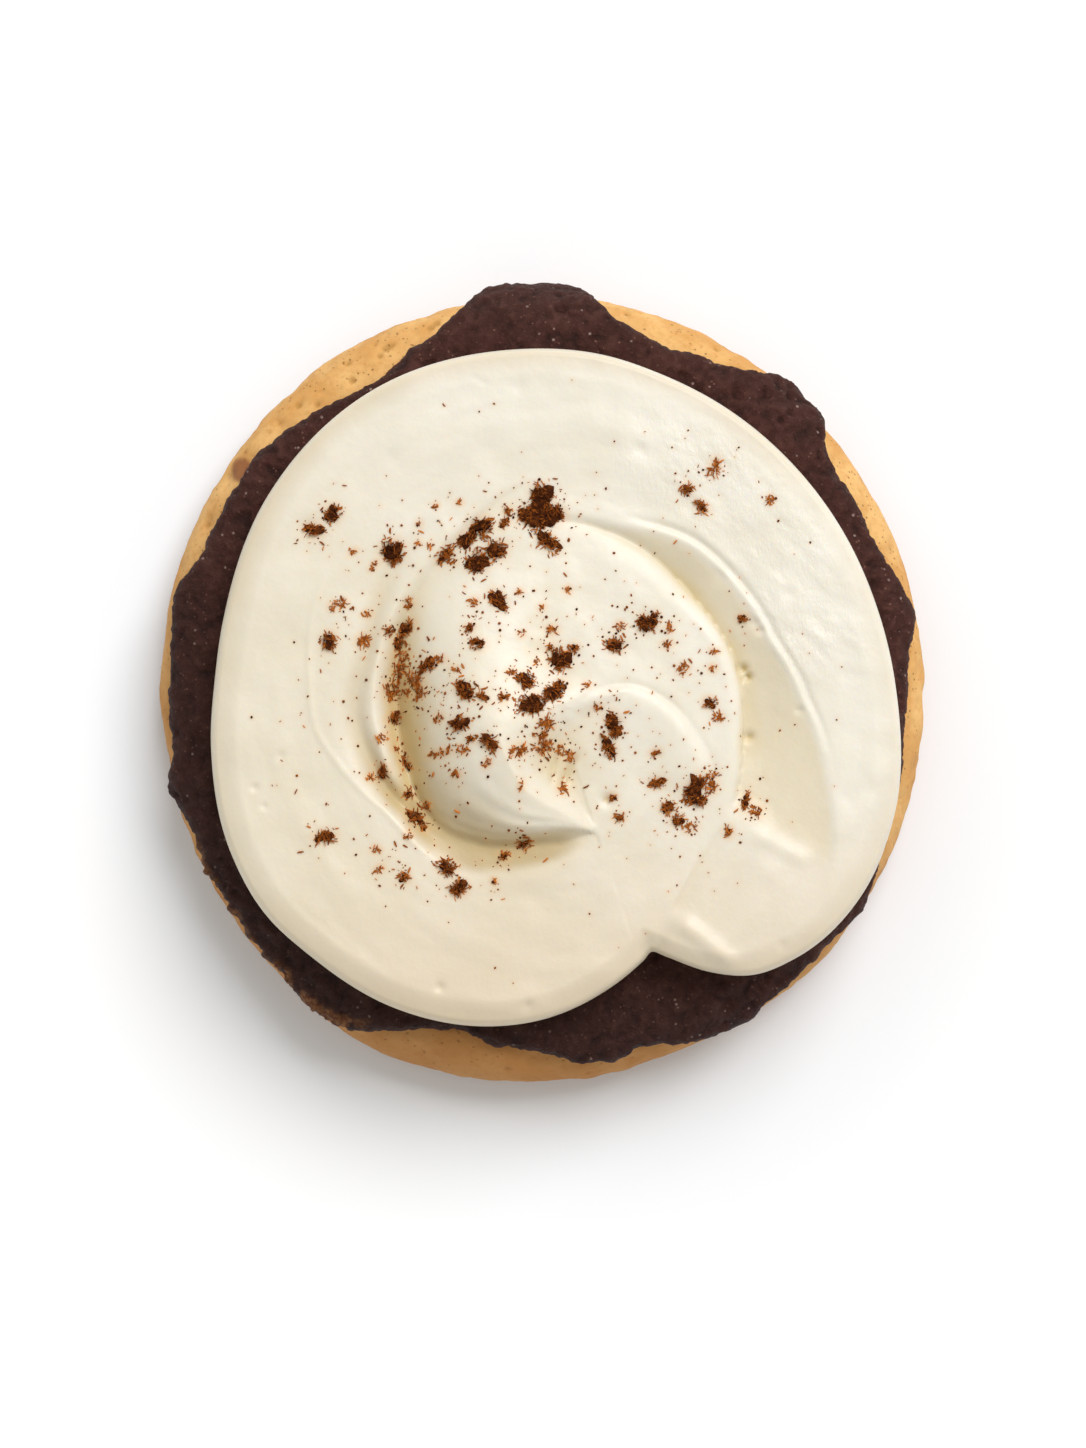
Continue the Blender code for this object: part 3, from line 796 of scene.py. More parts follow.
def frosting_relief(x, y):
    """Height above the ring's level top, in metres, at a place given in metres."""
    x, y = as_seen(x / MM, y / MM)
    hollow = 0.3 * fade(np.hypot(x - HOLLOW_BY_CURL[0], y - HOLLOW_BY_CURL[1]), 2.6)
    total = outer_turns(x, y) + mound_rise(x, y) + curl_rise(x, y) - hollow
    return MM * (total + creases(x, y) + spatula_texture(x, y))


# %% Lay out the grid in rounds
GRID_SQUARES = 304
RIM_ROWS = 20
UNDER_ROWS = 10
RIM_SLOPE_WIDTH = 3.6 * MM
RIM_SLOPE = 0.45 * MM
RIM_SLOPE_SHADED = 0.95 * MM
RIM_BEAD = 0.07 * MM


def spread_top(radius, angle):
    """Height of the spread's upper side at a distance from the middle, away from its lip."""
    along = np.linspace(-BISCUIT_RADIUS, SHOULDER_LENGTH, 400)
    outward, height = skin_point(along, np.zeros_like(along), GAP + spread_full(along))
    outward = outward - biscuit_edge(np.zeros(1))
    return np.interp(radius - biscuit_edge(angle), outward, height)


bpy.ops.object.select_all(action="DESELECT")
bpy.ops.mesh.primitive_grid_add(x_subdivisions=GRID_SQUARES, y_subdivisions=GRID_SQUARES, size=2.0)
frosting = bpy.context.active_object
frosting.name = "cream_frosting_swirl"
points = points_of(frosting)
across = points[:, 0]
upwards = points[:, 1]
share = np.maximum(np.abs(across), np.abs(upwards))
ratio = np.where(np.abs(across) >= np.abs(upwards), upwards, across) / np.maximum(share, 1e-9)
quarter_turn = np.where(
    np.abs(across) >= np.abs(upwards),
    np.where(across > 0, 45 * ratio, 180 - 45 * ratio),
    np.where(upwards > 0, 90 - 45 * ratio, 270 + 45 * ratio),
)
angle = np.mod(quarter_turn, 360)
print("a grid of", len(points), "points laid out in rounds")

# %% Wrap the rim and raise the swirl
drawn_out, drawn_to = EDGE_DRAWN_OUT
edge = smooth_line(FROSTING_EDGE, closed=True)(angle) * EDGE_NEARER * MM
edge = edge + drawn_out * (1 + cosine(angle - drawn_to))
contact = edge - FROSTING_TUCK
seat = spread_top(contact, angle) - FROSTING_BITE
belly = seat + FROSTING_BELLY
rows = share * GRID_SQUARES / 2
rim_row = GRID_SQUARES / 2 - rows
turned = np.clip((rim_row - UNDER_ROWS) / (RIM_ROWS - UNDER_ROWS), 0, 1) * np.pi / 2
below = np.clip(rim_row / UNDER_ROWS, 0, 1) * np.pi / 2
rim_radius = edge - FROSTING_RIM * (1 - np.cos(turned))
lower_radius = contact + FROSTING_TUCK * np.sin(below)
inner_radius = (edge - FROSTING_RIM) * share / (1 - 2 * RIM_ROWS / GRID_SQUARES)
on_rim = rim_row > UNDER_ROWS
on_top_side = rim_row > RIM_ROWS
radius = np.where(on_top_side, inner_radius, np.where(on_rim, rim_radius, lower_radius))
x = radius * cosine(angle)
y = radius * cosine(angle - 90)
from_edge = edge - radius
near_rim = np.clip(1 - from_edge / RIM_SLOPE_WIDTH, 0, 1)
rim_slope = RIM_SLOPE + RIM_SLOPE_SHADED * (0.5 - 0.5 * cosine(angle - 65))
top = FROSTING_LEVEL + frosting_relief(x, y) - rim_slope * near_rim**1.3
top = top + RIM_BEAD * fade(from_edge - 0.7 * MM, 0.35 * MM)
rim_height = belly + (top - belly) * quarter_round((edge - radius) / FROSTING_RIM, RIM_SQUARENESS)
lower_height = belly - (belly - seat) * np.cos(below)
height = np.where(on_top_side, top, np.where(on_rim, rim_height, lower_height))
seen_x, seen_y = as_seen(x / MM, y / MM)
move_points(frosting, np.column_stack([x, y, height]))
print("frosting rises to", np.round(height.max() / MM, 1), "mm")

# %% [markdown]
# Small bubbles leave pits. They are listed, each (x, y, half width, depth) in millimetres, as seen
# from above. Shade is painted on the cream in a yellower colour where it lies in a hollow or a pit, on
# the trough's slope, in the groove and the valley round the mound and at the rim, so each such place is
# marked for the finish. A point lies in a hollow if it is lower than the average of the points some way
# off on every side.

# %% Prick the frosting
PITS = (
    (25.4, 2.7, 0.6, 0.8), (26.0, 1.7, 0.55, 0.9), (26.2, -6.1, 0.6, 0.7), (26.9, 8.6, 0.7, 0.3),
    (27.6, 7.7, 0.6, 0.35), (7.8, -14.2, 0.8, 0.5), (-3.4, 39.0, 1.0, 0.14), (-13.7, -38.3, 0.6, 0.35),
    (-2.3, -40.9, 0.7, 0.35), (32.7, -2.6, 0.45, 0.3), (-34.2, -8.5, 0.6, 0.2), (-37.6, -12.6, 0.5, 0.25),
    (-36.4, -15.0, 0.45, 0.2), (18.5, 23.7, 1.0, 0.22), (31.0, 12.5, 0.9, 0.2), (12.0, 31.0, 0.8, 0.18),
    (-20.0, 30.0, 1.0, 0.12), (-31.0, 21.0, 1.2, 0.12), (38.5, 2.0, 0.9, 0.12), (30.5, -33.0, 0.7, 0.2),
    (22.6, 14.6, 1.3, 0.3),
)

points = points_of(frosting)
pits = np.array(PITS) * MM
pits[:, 0], pits[:, 1] = np.array(on_top(pits[:, 0] / MM, pits[:, 1] / MM)) * MM
pit_tops = FROSTING_LEVEL + frosting_relief(pits[:, 0], pits[:, 1])
centres = np.column_stack([pits[:, 0], pits[:, 1], pit_tops])
pressed = press_in(points, normals_of(frosting), centres, pits[:, 2], pits[:, 3])
move_points(frosting, pressed)
print("frosting pricked with", len(pits), "pits")

# %% Mark painted shade in the hollows, at the rim and in the valley, and the crinkled patch
FULL_SHADE_DEPTH = 1.7 * MM
TROUGH_SHADE = 0.42
RIM_SHADE_SPAN = (20, 70, 155, 175)

grid_height = height.reshape(GRID_SQUARES + 1, GRID_SQUARES + 1)
surroundings = grid_height.copy()
for reach in (4, 7, 11):
    for axis in (0, 1):
        surroundings = 0.5 * (np.roll(surroundings, reach, axis) + np.roll(surroundings, -reach, axis))
# Painted shade: how far a point lies below its surroundings, on the trough's slope or in a pit.
hollow = np.clip((surroundings - grid_height) / FULL_SHADE_DEPTH, 0, 1).ravel() * on_top_side
hollow = np.maximum(hollow, TROUGH_SHADE * shaded_trough(seen_x, seen_y))
in_pit = ramp(np.linalg.norm(pressed - points, axis=1), 0.2 * MM, 0.6 * MM)
hollow = np.maximum(hollow, in_pit)
# Painted shade on the rim, stronger along its upper part and weaker at the very edge, which leaves a painted
# bright line there.
rim_shade_boost = 1 + 1.1 * window(angle, RIM_SHADE_SPAN)
rim = near_rim * rim_shade_boost * (0.3 + 0.7 * ramp(from_edge, 0, 0.9 * MM))
mark(frosting, "hollow", hollow)
mark(frosting, "rim", np.where(on_rim, rim, 0.3))
mark(frosting, "valley", valley_shadow(seen_x, seen_y))
mark(frosting, "crinkled", crinkled_patch(seen_x, seen_y))
print("hollows marked on", int((hollow > 0.2).sum()), "points")

# %% Close the frosting underneath
UNDERSIDE_SHARE = 0.8

take(frosting)
bpy.ops.object.mode_set(mode="EDIT")
bpy.ops.mesh.select_mode(type="EDGE")
bpy.ops.mesh.select_all(action="SELECT")
bpy.ops.mesh.region_to_loop()
bpy.ops.mesh.extrude_region_move()
bpy.ops.transform.resize(value=(UNDERSIDE_SHARE, UNDERSIDE_SHARE, 1.0), center_override=(0, 0, 0))
bpy.ops.mesh.extrude_region_move()
bpy.ops.mesh.merge(type="CENTER")
bpy.ops.mesh.select_mode(type="FACE")
bpy.ops.object.mode_set(mode="OBJECT")
close_up(frosting)

# %% [markdown]
# ## The ground cinnamon's shape
#
# Coarsely ground cinnamon is splinters of bark. They cling together in crumbly clumps, and the finest
# fall as specks and slivers round them. One splinter is modelled, a box with its two ends drawn out
# into points, and two balls of a few faces, one for a grain and one for the dark lump inside a clump.
# Hundreds or thousands of copies are then laid on the frosting as arrays and joined, one mesh for each
# kind, with every copy turned, sized and bent its own way.

# %% Model one splinter, one grain and one lump
def splinter_shape():
    """A pointed splinter one unit long."""
    bpy.ops.object.select_all(action="DESELECT")
    bpy.ops.mesh.primitive_cube_add(size=1.0, scale=(0.42, 0.30, 0.20))
    splinter = bpy.context.active_object
    bpy.ops.object.transform_apply(location=True, rotation=True, scale=True)
    bpy.ops.object.mode_set(mode="EDIT")
    for side, aside, taper in ((1, 0.05, 0.45), (-1, -0.04, 0.6)):
        select_faces(splinter, lambda centre, normal: normal.x * side > 0.9)
        bpy.ops.mesh.extrude_region_move(TRANSFORM_OT_translate={"value": (0.29 * side, aside, 0.0)})
        end = (0.5 * side, aside, 0.0)
        bpy.ops.transform.resize(value=(1.0, taper, 0.6), center_override=end)
    bpy.ops.object.mode_set(mode="OBJECT")
    return splinter


def ball_shape(roundness):
    """A ball one unit across."""
    bpy.ops.object.select_all(action="DESELECT")
    bpy.ops.mesh.primitive_ico_sphere_add(subdivisions=roundness, radius=0.5)
    return bpy.context.active_object


def taken_apart(shape):
    """A shape's points and faces as arrays. The shape itself is then deleted."""
    points = points_of(shape)
    faces = np.array([list(face.vertices) for face in shape.data.polygons])
    take(shape)
    bpy.ops.object.delete()
    return points, faces


splinter = taken_apart(splinter_shape())
grain = taken_apart(ball_shape(1))
lump = taken_apart(ball_shape(2))
print("a splinter has", 2 * len(splinter[1]), "triangles and a grain", len(grain[1]))

# %% Lay copies of a shape on the frosting
faces = [tuple(face.vertices) for face in frosting.data.polygons]
frosting_skin = BVHTree.FromPolygons(points_of(frosting).tolist(), faces)


def resting_places(x, y):
    """The frosting's surface below each (x, y), with its normal. Places off the frosting are left out."""
    found = [frosting_skin.ray_cast(Vector((a, b, 0.1)), Vector((0, 0, -1))) for a, b in zip(x, y)]
    on = np.array([hit[0] is not None and hit[1].z > 0.2 for hit in found])
    spots = np.array([hit[0] if good else (0, 0, 0) for hit, good in zip(found, on)])
    normals = np.array([hit[1] if good else (0, 0, 1) for hit, good in zip(found, on)])
    return spots, normals, on


def lay(shape, spots, normals, turn, tilt, sizes, bend):
    """Points and faces of many copies of a shape. Each lies on its normal, turned and tilted."""
    points, faces = shape
    ahead = places(1, turn, 0 * turn)
    ahead = ahead - normals * np.sum(ahead * normals, axis=1)[:, None]
    ahead = ahead / np.linalg.norm(ahead, axis=1)[:, None]
    beside = np.cross(normals, ahead)
    tilted = ahead * cosine(tilt)[:, None] + normals * cosine(tilt - 90)[:, None]
    upright = np.cross(tilted, beside)
    local = points[None] * sizes[:, None, :]
    bent = local[:, :, 1] + bend[:, None] * local[:, :, 0] ** 2 / sizes[:, None, 0]
    placed = local[:, :, 0:1] * tilted[:, None] + bent[:, :, None] * beside[:, None]
    placed = placed + local[:, :, 2:3] * upright[:, None] + spots[:, None]
    offsets = len(points) * np.arange(len(spots))
    return placed.reshape(-1, 3), (faces[None] + offsets[:, None, None]).reshape(-1, faces.shape[1])


# %% Join parts into one piece
def join_up(name, parts):
    """One piece from (points, faces, shade) parts, with the shade kept as an attribute."""
    points = np.concatenate([part[0] for part in parts])
    starts = np.cumsum([0] + [len(part[0]) for part in parts])
    faces = [face.tolist() for part, start in zip(parts, starts) for face in part[1] + start]
    mesh = bpy.data.meshes.new(name)
    mesh.from_pydata(points.tolist(), [], faces)
    piece = bpy.data.objects.new(name, mesh)
    mark(piece, "shade", np.concatenate([part[2] for part in parts]))
    bpy.context.collection.objects.link(piece)
    take(piece)
    bpy.ops.object.mode_set(mode="EDIT")
    bpy.ops.mesh.select_all(action="SELECT")
    bpy.ops.mesh.normals_make_consistent(inside=False)
    bpy.ops.object.mode_set(mode="OBJECT")
    print(name, "has", sum(len(face.vertices) - 2 for face in mesh.polygons), "triangles")
    return piece


# %% [markdown]
# The clumps lie where the photograph shows them. They are listed as (x, y, length, width, turn), in the
# photograph's pixels and in degrees. All were read there but four, which were moved to fit and
# worked back to pixels. The function on_cookie turns pixels into millimetres, to the nearest tenth. A
# clump is a dark lumpy core covered in splinters, which fray outwards at its edge. A crumb is a looser
# heap of splinters with no core. Splinters are darkest in the middle of a clump and orange-brown where
# a few lie thinly.

# %% Where the clumps and crumbs lie
PIXEL = 0.1289
MIDDLE_PIXEL = (546, 690)
CLUMPS_SEEN = (
    (541, 500, 30, 22, 90), (541, 518, 36, 22, 0), (527, 515, 22, 17, 30), (556, 512, 20, 15.5, -35),
    (548, 541, 28, 13, -45), (482, 526, 20, 18, 30), (467, 539, 22, 13, 37), (478, 562, 23, 20, 20),
    (496, 552, 20, 17, 35), (444, 555, 20, 11, 52), (508, 511, 8, 8, 0), (505, 523, 13, 8, 40),
    (498, 601, 23, 14, -52), (392, 551, 23, 21, 60), (332, 513, 17, 16, 60), (313, 530, 20, 13, -12),
    (329, 641, 17, 14, 80), (388, 631, 9, 9, 0), (406, 628, 20, 10, 40), (398, 643, 16, 10, -75),
    (427, 665, 22, 11, 40), (465, 691, 24, 13, -45), (483, 697, 14, 8, -45), (559, 660, 24, 19, 0),
    (551, 648, 8, 8, 0), (574, 648, 9, 8, 60), (525, 681, 17, 14, -30), (504, 698, 9, 9, 0),
    (532, 704, 26, 19, 15), (553, 694, 18, 15, 35), (561, 685, 13, 10, 0), (460, 723, 18, 14, 10),
    (489, 742, 18, 12, -50), (472, 739, 9, 6, 10), (393, 717, 16, 10, 40), (405, 764, 14, 8, -50),
    (383, 772, 13, 10, 80), (409, 795, 10, 8, 0), (478, 644, 14, 12, -20), (469, 629, 11, 8, 20),
    (615, 645, 18, 14, -10), (644, 623, 12, 18, 0), (653, 621, 10, 18, -20), (710, 703, 13, 11, -20),
    (613, 722, 21, 14, -75), (615, 733, 12, 11, 0), (608, 746, 24, 12, -58), (655, 753, 10, 6, 15),
    (657, 783, 17, 10, 15), (613, 797, 8, 7, 0), (619, 818, 11, 7, 0), (695, 787, 32, 15, 55),
    (697, 800, 17, 12, -10), (711, 784, 9, 6, -20), (668, 808, 14, 12, 0), (678, 820, 13, 11, 0),
    (746, 802, 18, 8, 75), (743, 618, 10, 6, 15), (687, 488, 11, 11, 0), (702, 507, 15, 9, -40),
    (325, 837, 22, 12, 5), (404, 878, 12, 9, 20), (446, 868, 19, 14, -20), (459, 888, 17, 15, 20),
    (413, 818, 16, 11, -25), (422, 826, 13, 8, -50), (525, 844, 14, 9, 15), (504, 856, 10, 8, 0),
)
CRUMBS_SEEN = (
    (374, 565, 13, 5, 50), (452, 562, 11, 5, 0), (440, 660, 13, 6, -5), (439, 718, 9, 8, 40),
    (620, 626, 9, 8, 30), (667, 644, 11, 6, 15), (669, 628, 6, 9, 0), (714, 651, 9, 5, 0),
    (683, 668, 12, 9, 40), (713, 668, 7, 7, 0), (718, 717, 10, 8, 0), (711, 776, 15, 8, 30),
    (713, 788, 12.5, 9, 60), (690, 828, 13, 8, 20), (756, 812, 12.5, 11, 0), (728, 832, 8, 11, 0),
    (714, 467, 18, 10, 70), (770, 500, 6, 9, 0), (408, 835, 7, 8, 0), (333, 606, 7, 8, 0),
    (343, 604, 10, 8, 60), (367, 614, 9, 6, 10), (363, 640, 13, 12, 60), (376, 850, 9, 6, 0),
    (379, 869, 9, 6, 30), (494, 882, 5, 6, 0), (426, 806, 10, 8, 30), (457, 774, 9, 8, 0),
    (487, 763, 10, 6, 50), (521, 785, 10, 4, 80), (562, 789, 10, 9, 60), (519, 750, 18, 12, 20),
    (543, 747, 20, 13, 0), (561, 750, 12, 8, 80), (569, 757, 10, 9, 0), (546, 723, 17, 10, -25),
    (441, 753, 26, 7, 12), (462, 750, 13, 8, -10), (382, 738, 13, 8, 20), (395, 748, 6, 5, 0),
    (371, 778, 9, 6, 0), (399, 669, 15, 12, 30), (415, 681, 22, 14, -30), (406, 692, 12, 7, 0),
    (421, 693, 13, 7, 50), (456, 669, 9, 5, -20), (511, 673, 9, 8, 0), (568, 590, 6, 6, 0),
    (541, 608, 6, 5, 20), (552, 630, 10, 9, 0), (521, 634, 6, 5, 0), (520, 592, 6, 5, 0),
    (475, 602, 9, 7, 0), (436, 505, 5, 4, 0), (459, 502, 6, 4, 0), (353, 552, 9, 4, 40),
    (419, 523, 5, 4, 0), (418, 543, 6, 4, 0), (430, 546, 6, 3, 0), (537, 662, 6, 5, 0),
    (586, 685, 7, 5, 0), (598, 708, 7, 6, 20), (408, 604, 8, 9, 0), (541, 735, 14, 9, 0),
    (390, 690, 14, 22, 0), (402, 655, 16, 8, 0),
)


def on_cookie(seen):
    """Entries in the photograph's pixels as entries in millimetres from the cookie's middle."""
    entries = []
    for x, y, length, width, turn in seen:
        pixels = (x - MIDDLE_PIXEL[0], MIDDLE_PIXEL[1] - y, length, width)
        entries.append((*(round(PIXEL * count, 1) for count in pixels), turn))
    return tuple(entries)


CLUMPS = on_cookie(CLUMPS_SEEN)
CRUMBS = on_cookie(CRUMBS_SEEN)
print(len(CLUMPS), "clumps and", len(CRUMBS), "crumbs placed")

# %% Heap the splinters into clumps
CLUMP_DENSITY = 17.0
CRUMB_DENSITY = 15.0
dust = np.random.default_rng(71)


def aside_from(x, y, ahead, aside, turn):
    """The point that lies ahead of (x, y) along turn, and aside to its left."""
    px = x + ahead * cosine(turn) - aside * cosine(turn - 90)
    py = y + ahead * cosine(turn - 90) + aside * cosine(turn)
    return px, py


def heap(entry, density, height_share, frayed, scatter):
    """Splinters of one clump: (points, faces, shade). They lie one way, give or take scatter degrees."""
    x, y, length, width, turn = entry
    x, y = on_top(x, y)
    count = int(density * length * width * np.pi / 4) + 3
    out = np.sqrt(dust.uniform(0, 1, count)) * dust.uniform(0.86, 1.1 + frayed, count)
    around = dust.uniform(-180, 180, count)
    round_line = np.column_stack([x + cosine(around), y + cosine(around - 90), 0 * out])
    lumpy = 0.94 + 0.36 * cloud(round_line, 0.7, 72)
    ahead = 0.5 * length * out * lumpy * cosine(around)
    aside = 0.5 * width * out * lumpy * cosine(around - 90)
    px, py = aside_from(x, y, ahead, aside, turn)
    spots, normals, on = resting_places(MM * px, MM * py)
    dome = height_share * np.minimum(width, 2.4) * np.sqrt(np.clip(1 - out**2, 0, 1))
    level = (0.05 + dome * dust.uniform(0.55, 1.0, count)) * MM
    spots = spots + normals * level[:, None]
    lie = turn + dust.uniform(-50, 50) + dust.normal(0, scatter, count)
    lie = np.where(out > 0.82, direction_of(px - x, py - y) + dust.normal(0, 30, count), lie)
    tilt = dust.normal(0, 16, count) - 14 * np.clip(out, 0, 1) * (dome > 0.1)
    size = (0.36 + 0.9 * dust.uniform(0, 1, count) ** 2) * np.clip(width / 1.4, 0.75, 1.0) * MM
    slim = 0.28 * MM / size
    wide = size * slim * dust.uniform(0.9, 2.2, count)
    thick = size * slim * dust.uniform(1.0, 2.2, count)
    sizes = np.column_stack([size, wide, thick])
    bend = dust.uniform(-0.5, 0.5, on.sum())
    points, faces = lay(splinter, spots[on], normals[on], lie[on], tilt[on], sizes[on], bend)
    solid = np.clip(width / 2.4, 0.25, 1.0) * height_share / 0.3
    shade = 0.62 - 0.58 * solid * np.clip(1.15 - out**2, 0, 1) + dust.normal(0, 0.16, count)
    return points, faces, np.repeat(np.clip(shade[on], 0, 1), len(splinter[0]))


def core(entry):
    """The dark lumps in the middle of a clump, one for each square millimetre or two."""
    x, y, length, width, turn = entry
    count = 1 + int(length * width / 1.5)
    share = 0.78 if count == 1 else 0.58
    apart = 0 if count == 1 else 0.21
    ahead = apart * length * np.linspace(-1, 1, count) + 0.05 * length * dust.normal(0, 1, count)
    aside = apart * width * dust.uniform(-1, 1, count)
    px, py = on_top(*aside_from(x, y, ahead, aside, turn))
    spots, normals, on = resting_places(MM * px, MM * py)
    height = 0.5 * min(width, 2.4)
    sizes = MM * np.array([[share * length, share * width, height]]) * dust.uniform(0.75, 1.15, (count, 3))
    turns = turn + dust.normal(0, 25, count)
    tilts = dust.normal(0, 10, count)
    points, faces = lay(lump, spots, normals, turns, tilts, sizes, np.zeros(count))
    middles = np.repeat(spots, len(lump[0]), axis=0)
    bumps = 0.42 * cloud(points, 0.6 * MM, 73) + 0.2 * cloud(points, 0.3 * MM, 74)
    points = points + (points - middles) * bumps[:, None]
    return points, faces, np.clip(0.06 + 0.3 * cloud(points, 0.4 * MM, 75), 0, 1)


parts = [core(entry) for entry in CLUMPS]
parts += [heap(entry, CLUMP_DENSITY, 0.30, 0.18, 48) for entry in CLUMPS]
parts += [heap(entry, CRUMB_DENSITY, 0.08, 0.2, 75) for entry in CRUMBS]
clumps = join_up("cinnamon_clumps", parts)

# %% [markdown]
# Dust falls thickest beside the clumps it came from, so each speck or sliver starts from a clump,
# chosen by its size, and lands some way off. A few fall anywhere near the middle.

# %% Scatter the specks and slivers
SPECK_COUNT = 1150
SLIVER_COUNT = 400
STRAY_SHARE = 0.16
landed = []


def fall(count, spread):
    """Random (x, y) places for dust, in metres."""
    sources = np.array(CLUMPS + CRUMBS)
    weight = np.sqrt(sources[:, 2] * sources[:, 3])
    chosen = sources[dust.choice(len(sources), count, p=weight / weight.sum())]
    away = 0.42 * chosen[:, 2] + dust.exponential(spread, count)
    around = dust.uniform(-180, 180, count)
    x, y = on_top(chosen[:, 0] + away * cosine(around), chosen[:, 1] + away * cosine(around - 90))
    stray = dust.uniform(0, 1, count) < STRAY_SHARE
    x = np.where(stray, dust.normal(0, 18, count), x)
    y = np.where(stray, dust.normal(0, 18, count), y)
    return MM * x, MM * y


def scattered(shape, count, spread, size_range, slimness, shade_range, seat):
    """Copies of a shape fallen on the frosting: (points, faces, shade)."""
    x, y = fall(count, spread)
    spots, normals, on = resting_places(x, y)
    on = on & (np.hypot(x, y) < 39 * MM)
    low, high = size_range
    size = (low + (high - low) * dust.uniform(0, 1, count) ** 2) * MM
    narrow = slimness * dust.uniform(0.7, 1.3, (count, 2))
    sizes = np.column_stack([size, size * narrow[:, 0], size * narrow[:, 1]])
    spots = spots + normals * (seat * sizes[:, 2])[:, None]
    turn = dust.uniform(-180, 180, count)
    bend = dust.uniform(-0.4, 0.4, count)
    points, faces = lay(shape, spots[on], normals[on], turn[on], 0 * turn[on], sizes[on], bend[on])
    shade = dust.uniform(*shade_range, count)[on]
    landed.append(spots[on])
    return points, faces, np.repeat(shade, len(shape[0]))


fallen = scattered(grain, SPECK_COUNT, 1.7, (0.15, 0.44), 0.8, (0.0, 0.5), 0.2)
specks = join_up("cinnamon_specks", [fallen])
fallen = scattered(splinter, SLIVER_COUNT, 1.0, (0.28, 0.85), 0.9, (0.2, 0.9), 0.1)
slivers = join_up("cinnamon_slivers", [fallen])

# %% [markdown]
# Cinnamon colours the damp cream that it lies on. The stain reaches a little past each clump, in the
# clump's own oval, and makes a small faint ring round each speck and sliver. It is a mark on the
# frosting's points, found from the distance to what lies there.

# %% Stain the frosting round the cinnamon
HALO = 0.35

frosting_points = points_of(frosting)
stain = np.zeros(len(frosting_points))
for x, y, length, width, turn in CLUMPS + CRUMBS:
    x, y = on_top(x, y)
    away = np.hypot(frosting_points[:, 0] - MM * x, frosting_points[:, 1] - MM * y)
    near = np.flatnonzero(away < (length + 2) * MM)
    across = frosting_points[near] / MM - (x, y, 0)
    ahead = across[:, 0] * cosine(turn) + across[:, 1] * cosine(turn - 90)
    aside = across[:, 1] * cosine(turn) - across[:, 0] * cosine(turn - 90)
    beyond = np.hypot(ahead / (0.5 * length + HALO), aside / (0.5 * width + HALO))
    stain[near] = np.maximum(stain[near], fade(beyond, 1.12, 4))
for spot in np.concatenate(landed):
    near = np.flatnonzero(np.abs(frosting_points[:, 0] - spot[0]) < MM)
    near = near[np.abs(frosting_points[near, 1] - spot[1]) < MM]
    away = frosting_points[near] - spot
    stain[near] = np.maximum(stain[near], 0.5 * fade(np.hypot(away[:, 0], away[:, 1]), 0.4 * MM))
mark(frosting, "stain", stain)
print("frosting stained at", int((stain > 0.1).sum()), "points")

# %% [markdown]
# ## Finishes
#
# Each finish is a Principled shader whose colour, roughness and bump come from noise in the piece's
# own Object coordinates. The maths between nodes is written as Python expressions: Value wraps a
# socket, so that a sum or product of Values adds its Math node.

# %% Sums and products of node outputs
class Value:
    """A node's output that Python's operators can be used on."""

    def __init__(self, finish, socket):
        self.finish = finish
        self.socket = socket

    def maths(self, operation, *others):
        values = dict(enumerate((self, *others)))
        return self.finish.node("ShaderNodeMath", {"operation": operation}, values)

    def reflected(self, operation, other):
        return self.finish.node("ShaderNodeMath", {"operation": operation}, {0: other, 1: self})

    def __add__(self, other):
        return self.maths("ADD", other)

    def __radd__(self, other):
        return self.reflected("ADD", other)

    def __sub__(self, other):
        return self.maths("SUBTRACT", other)

    def __rsub__(self, other):
        return self.reflected("SUBTRACT", other)

    def __mul__(self, other):
        return self.maths("MULTIPLY", other)

    def __rmul__(self, other):
        return self.reflected("MULTIPLY", other)

    def step(self, low, high):
        """0 below low, 1 above high, smooth between."""
        values = {"Value": self, "From Min": low, "From Max": high}
        return self.finish.node("ShaderNodeMapRange", {"interpolation_type": "SMOOTHSTEP"}, values)


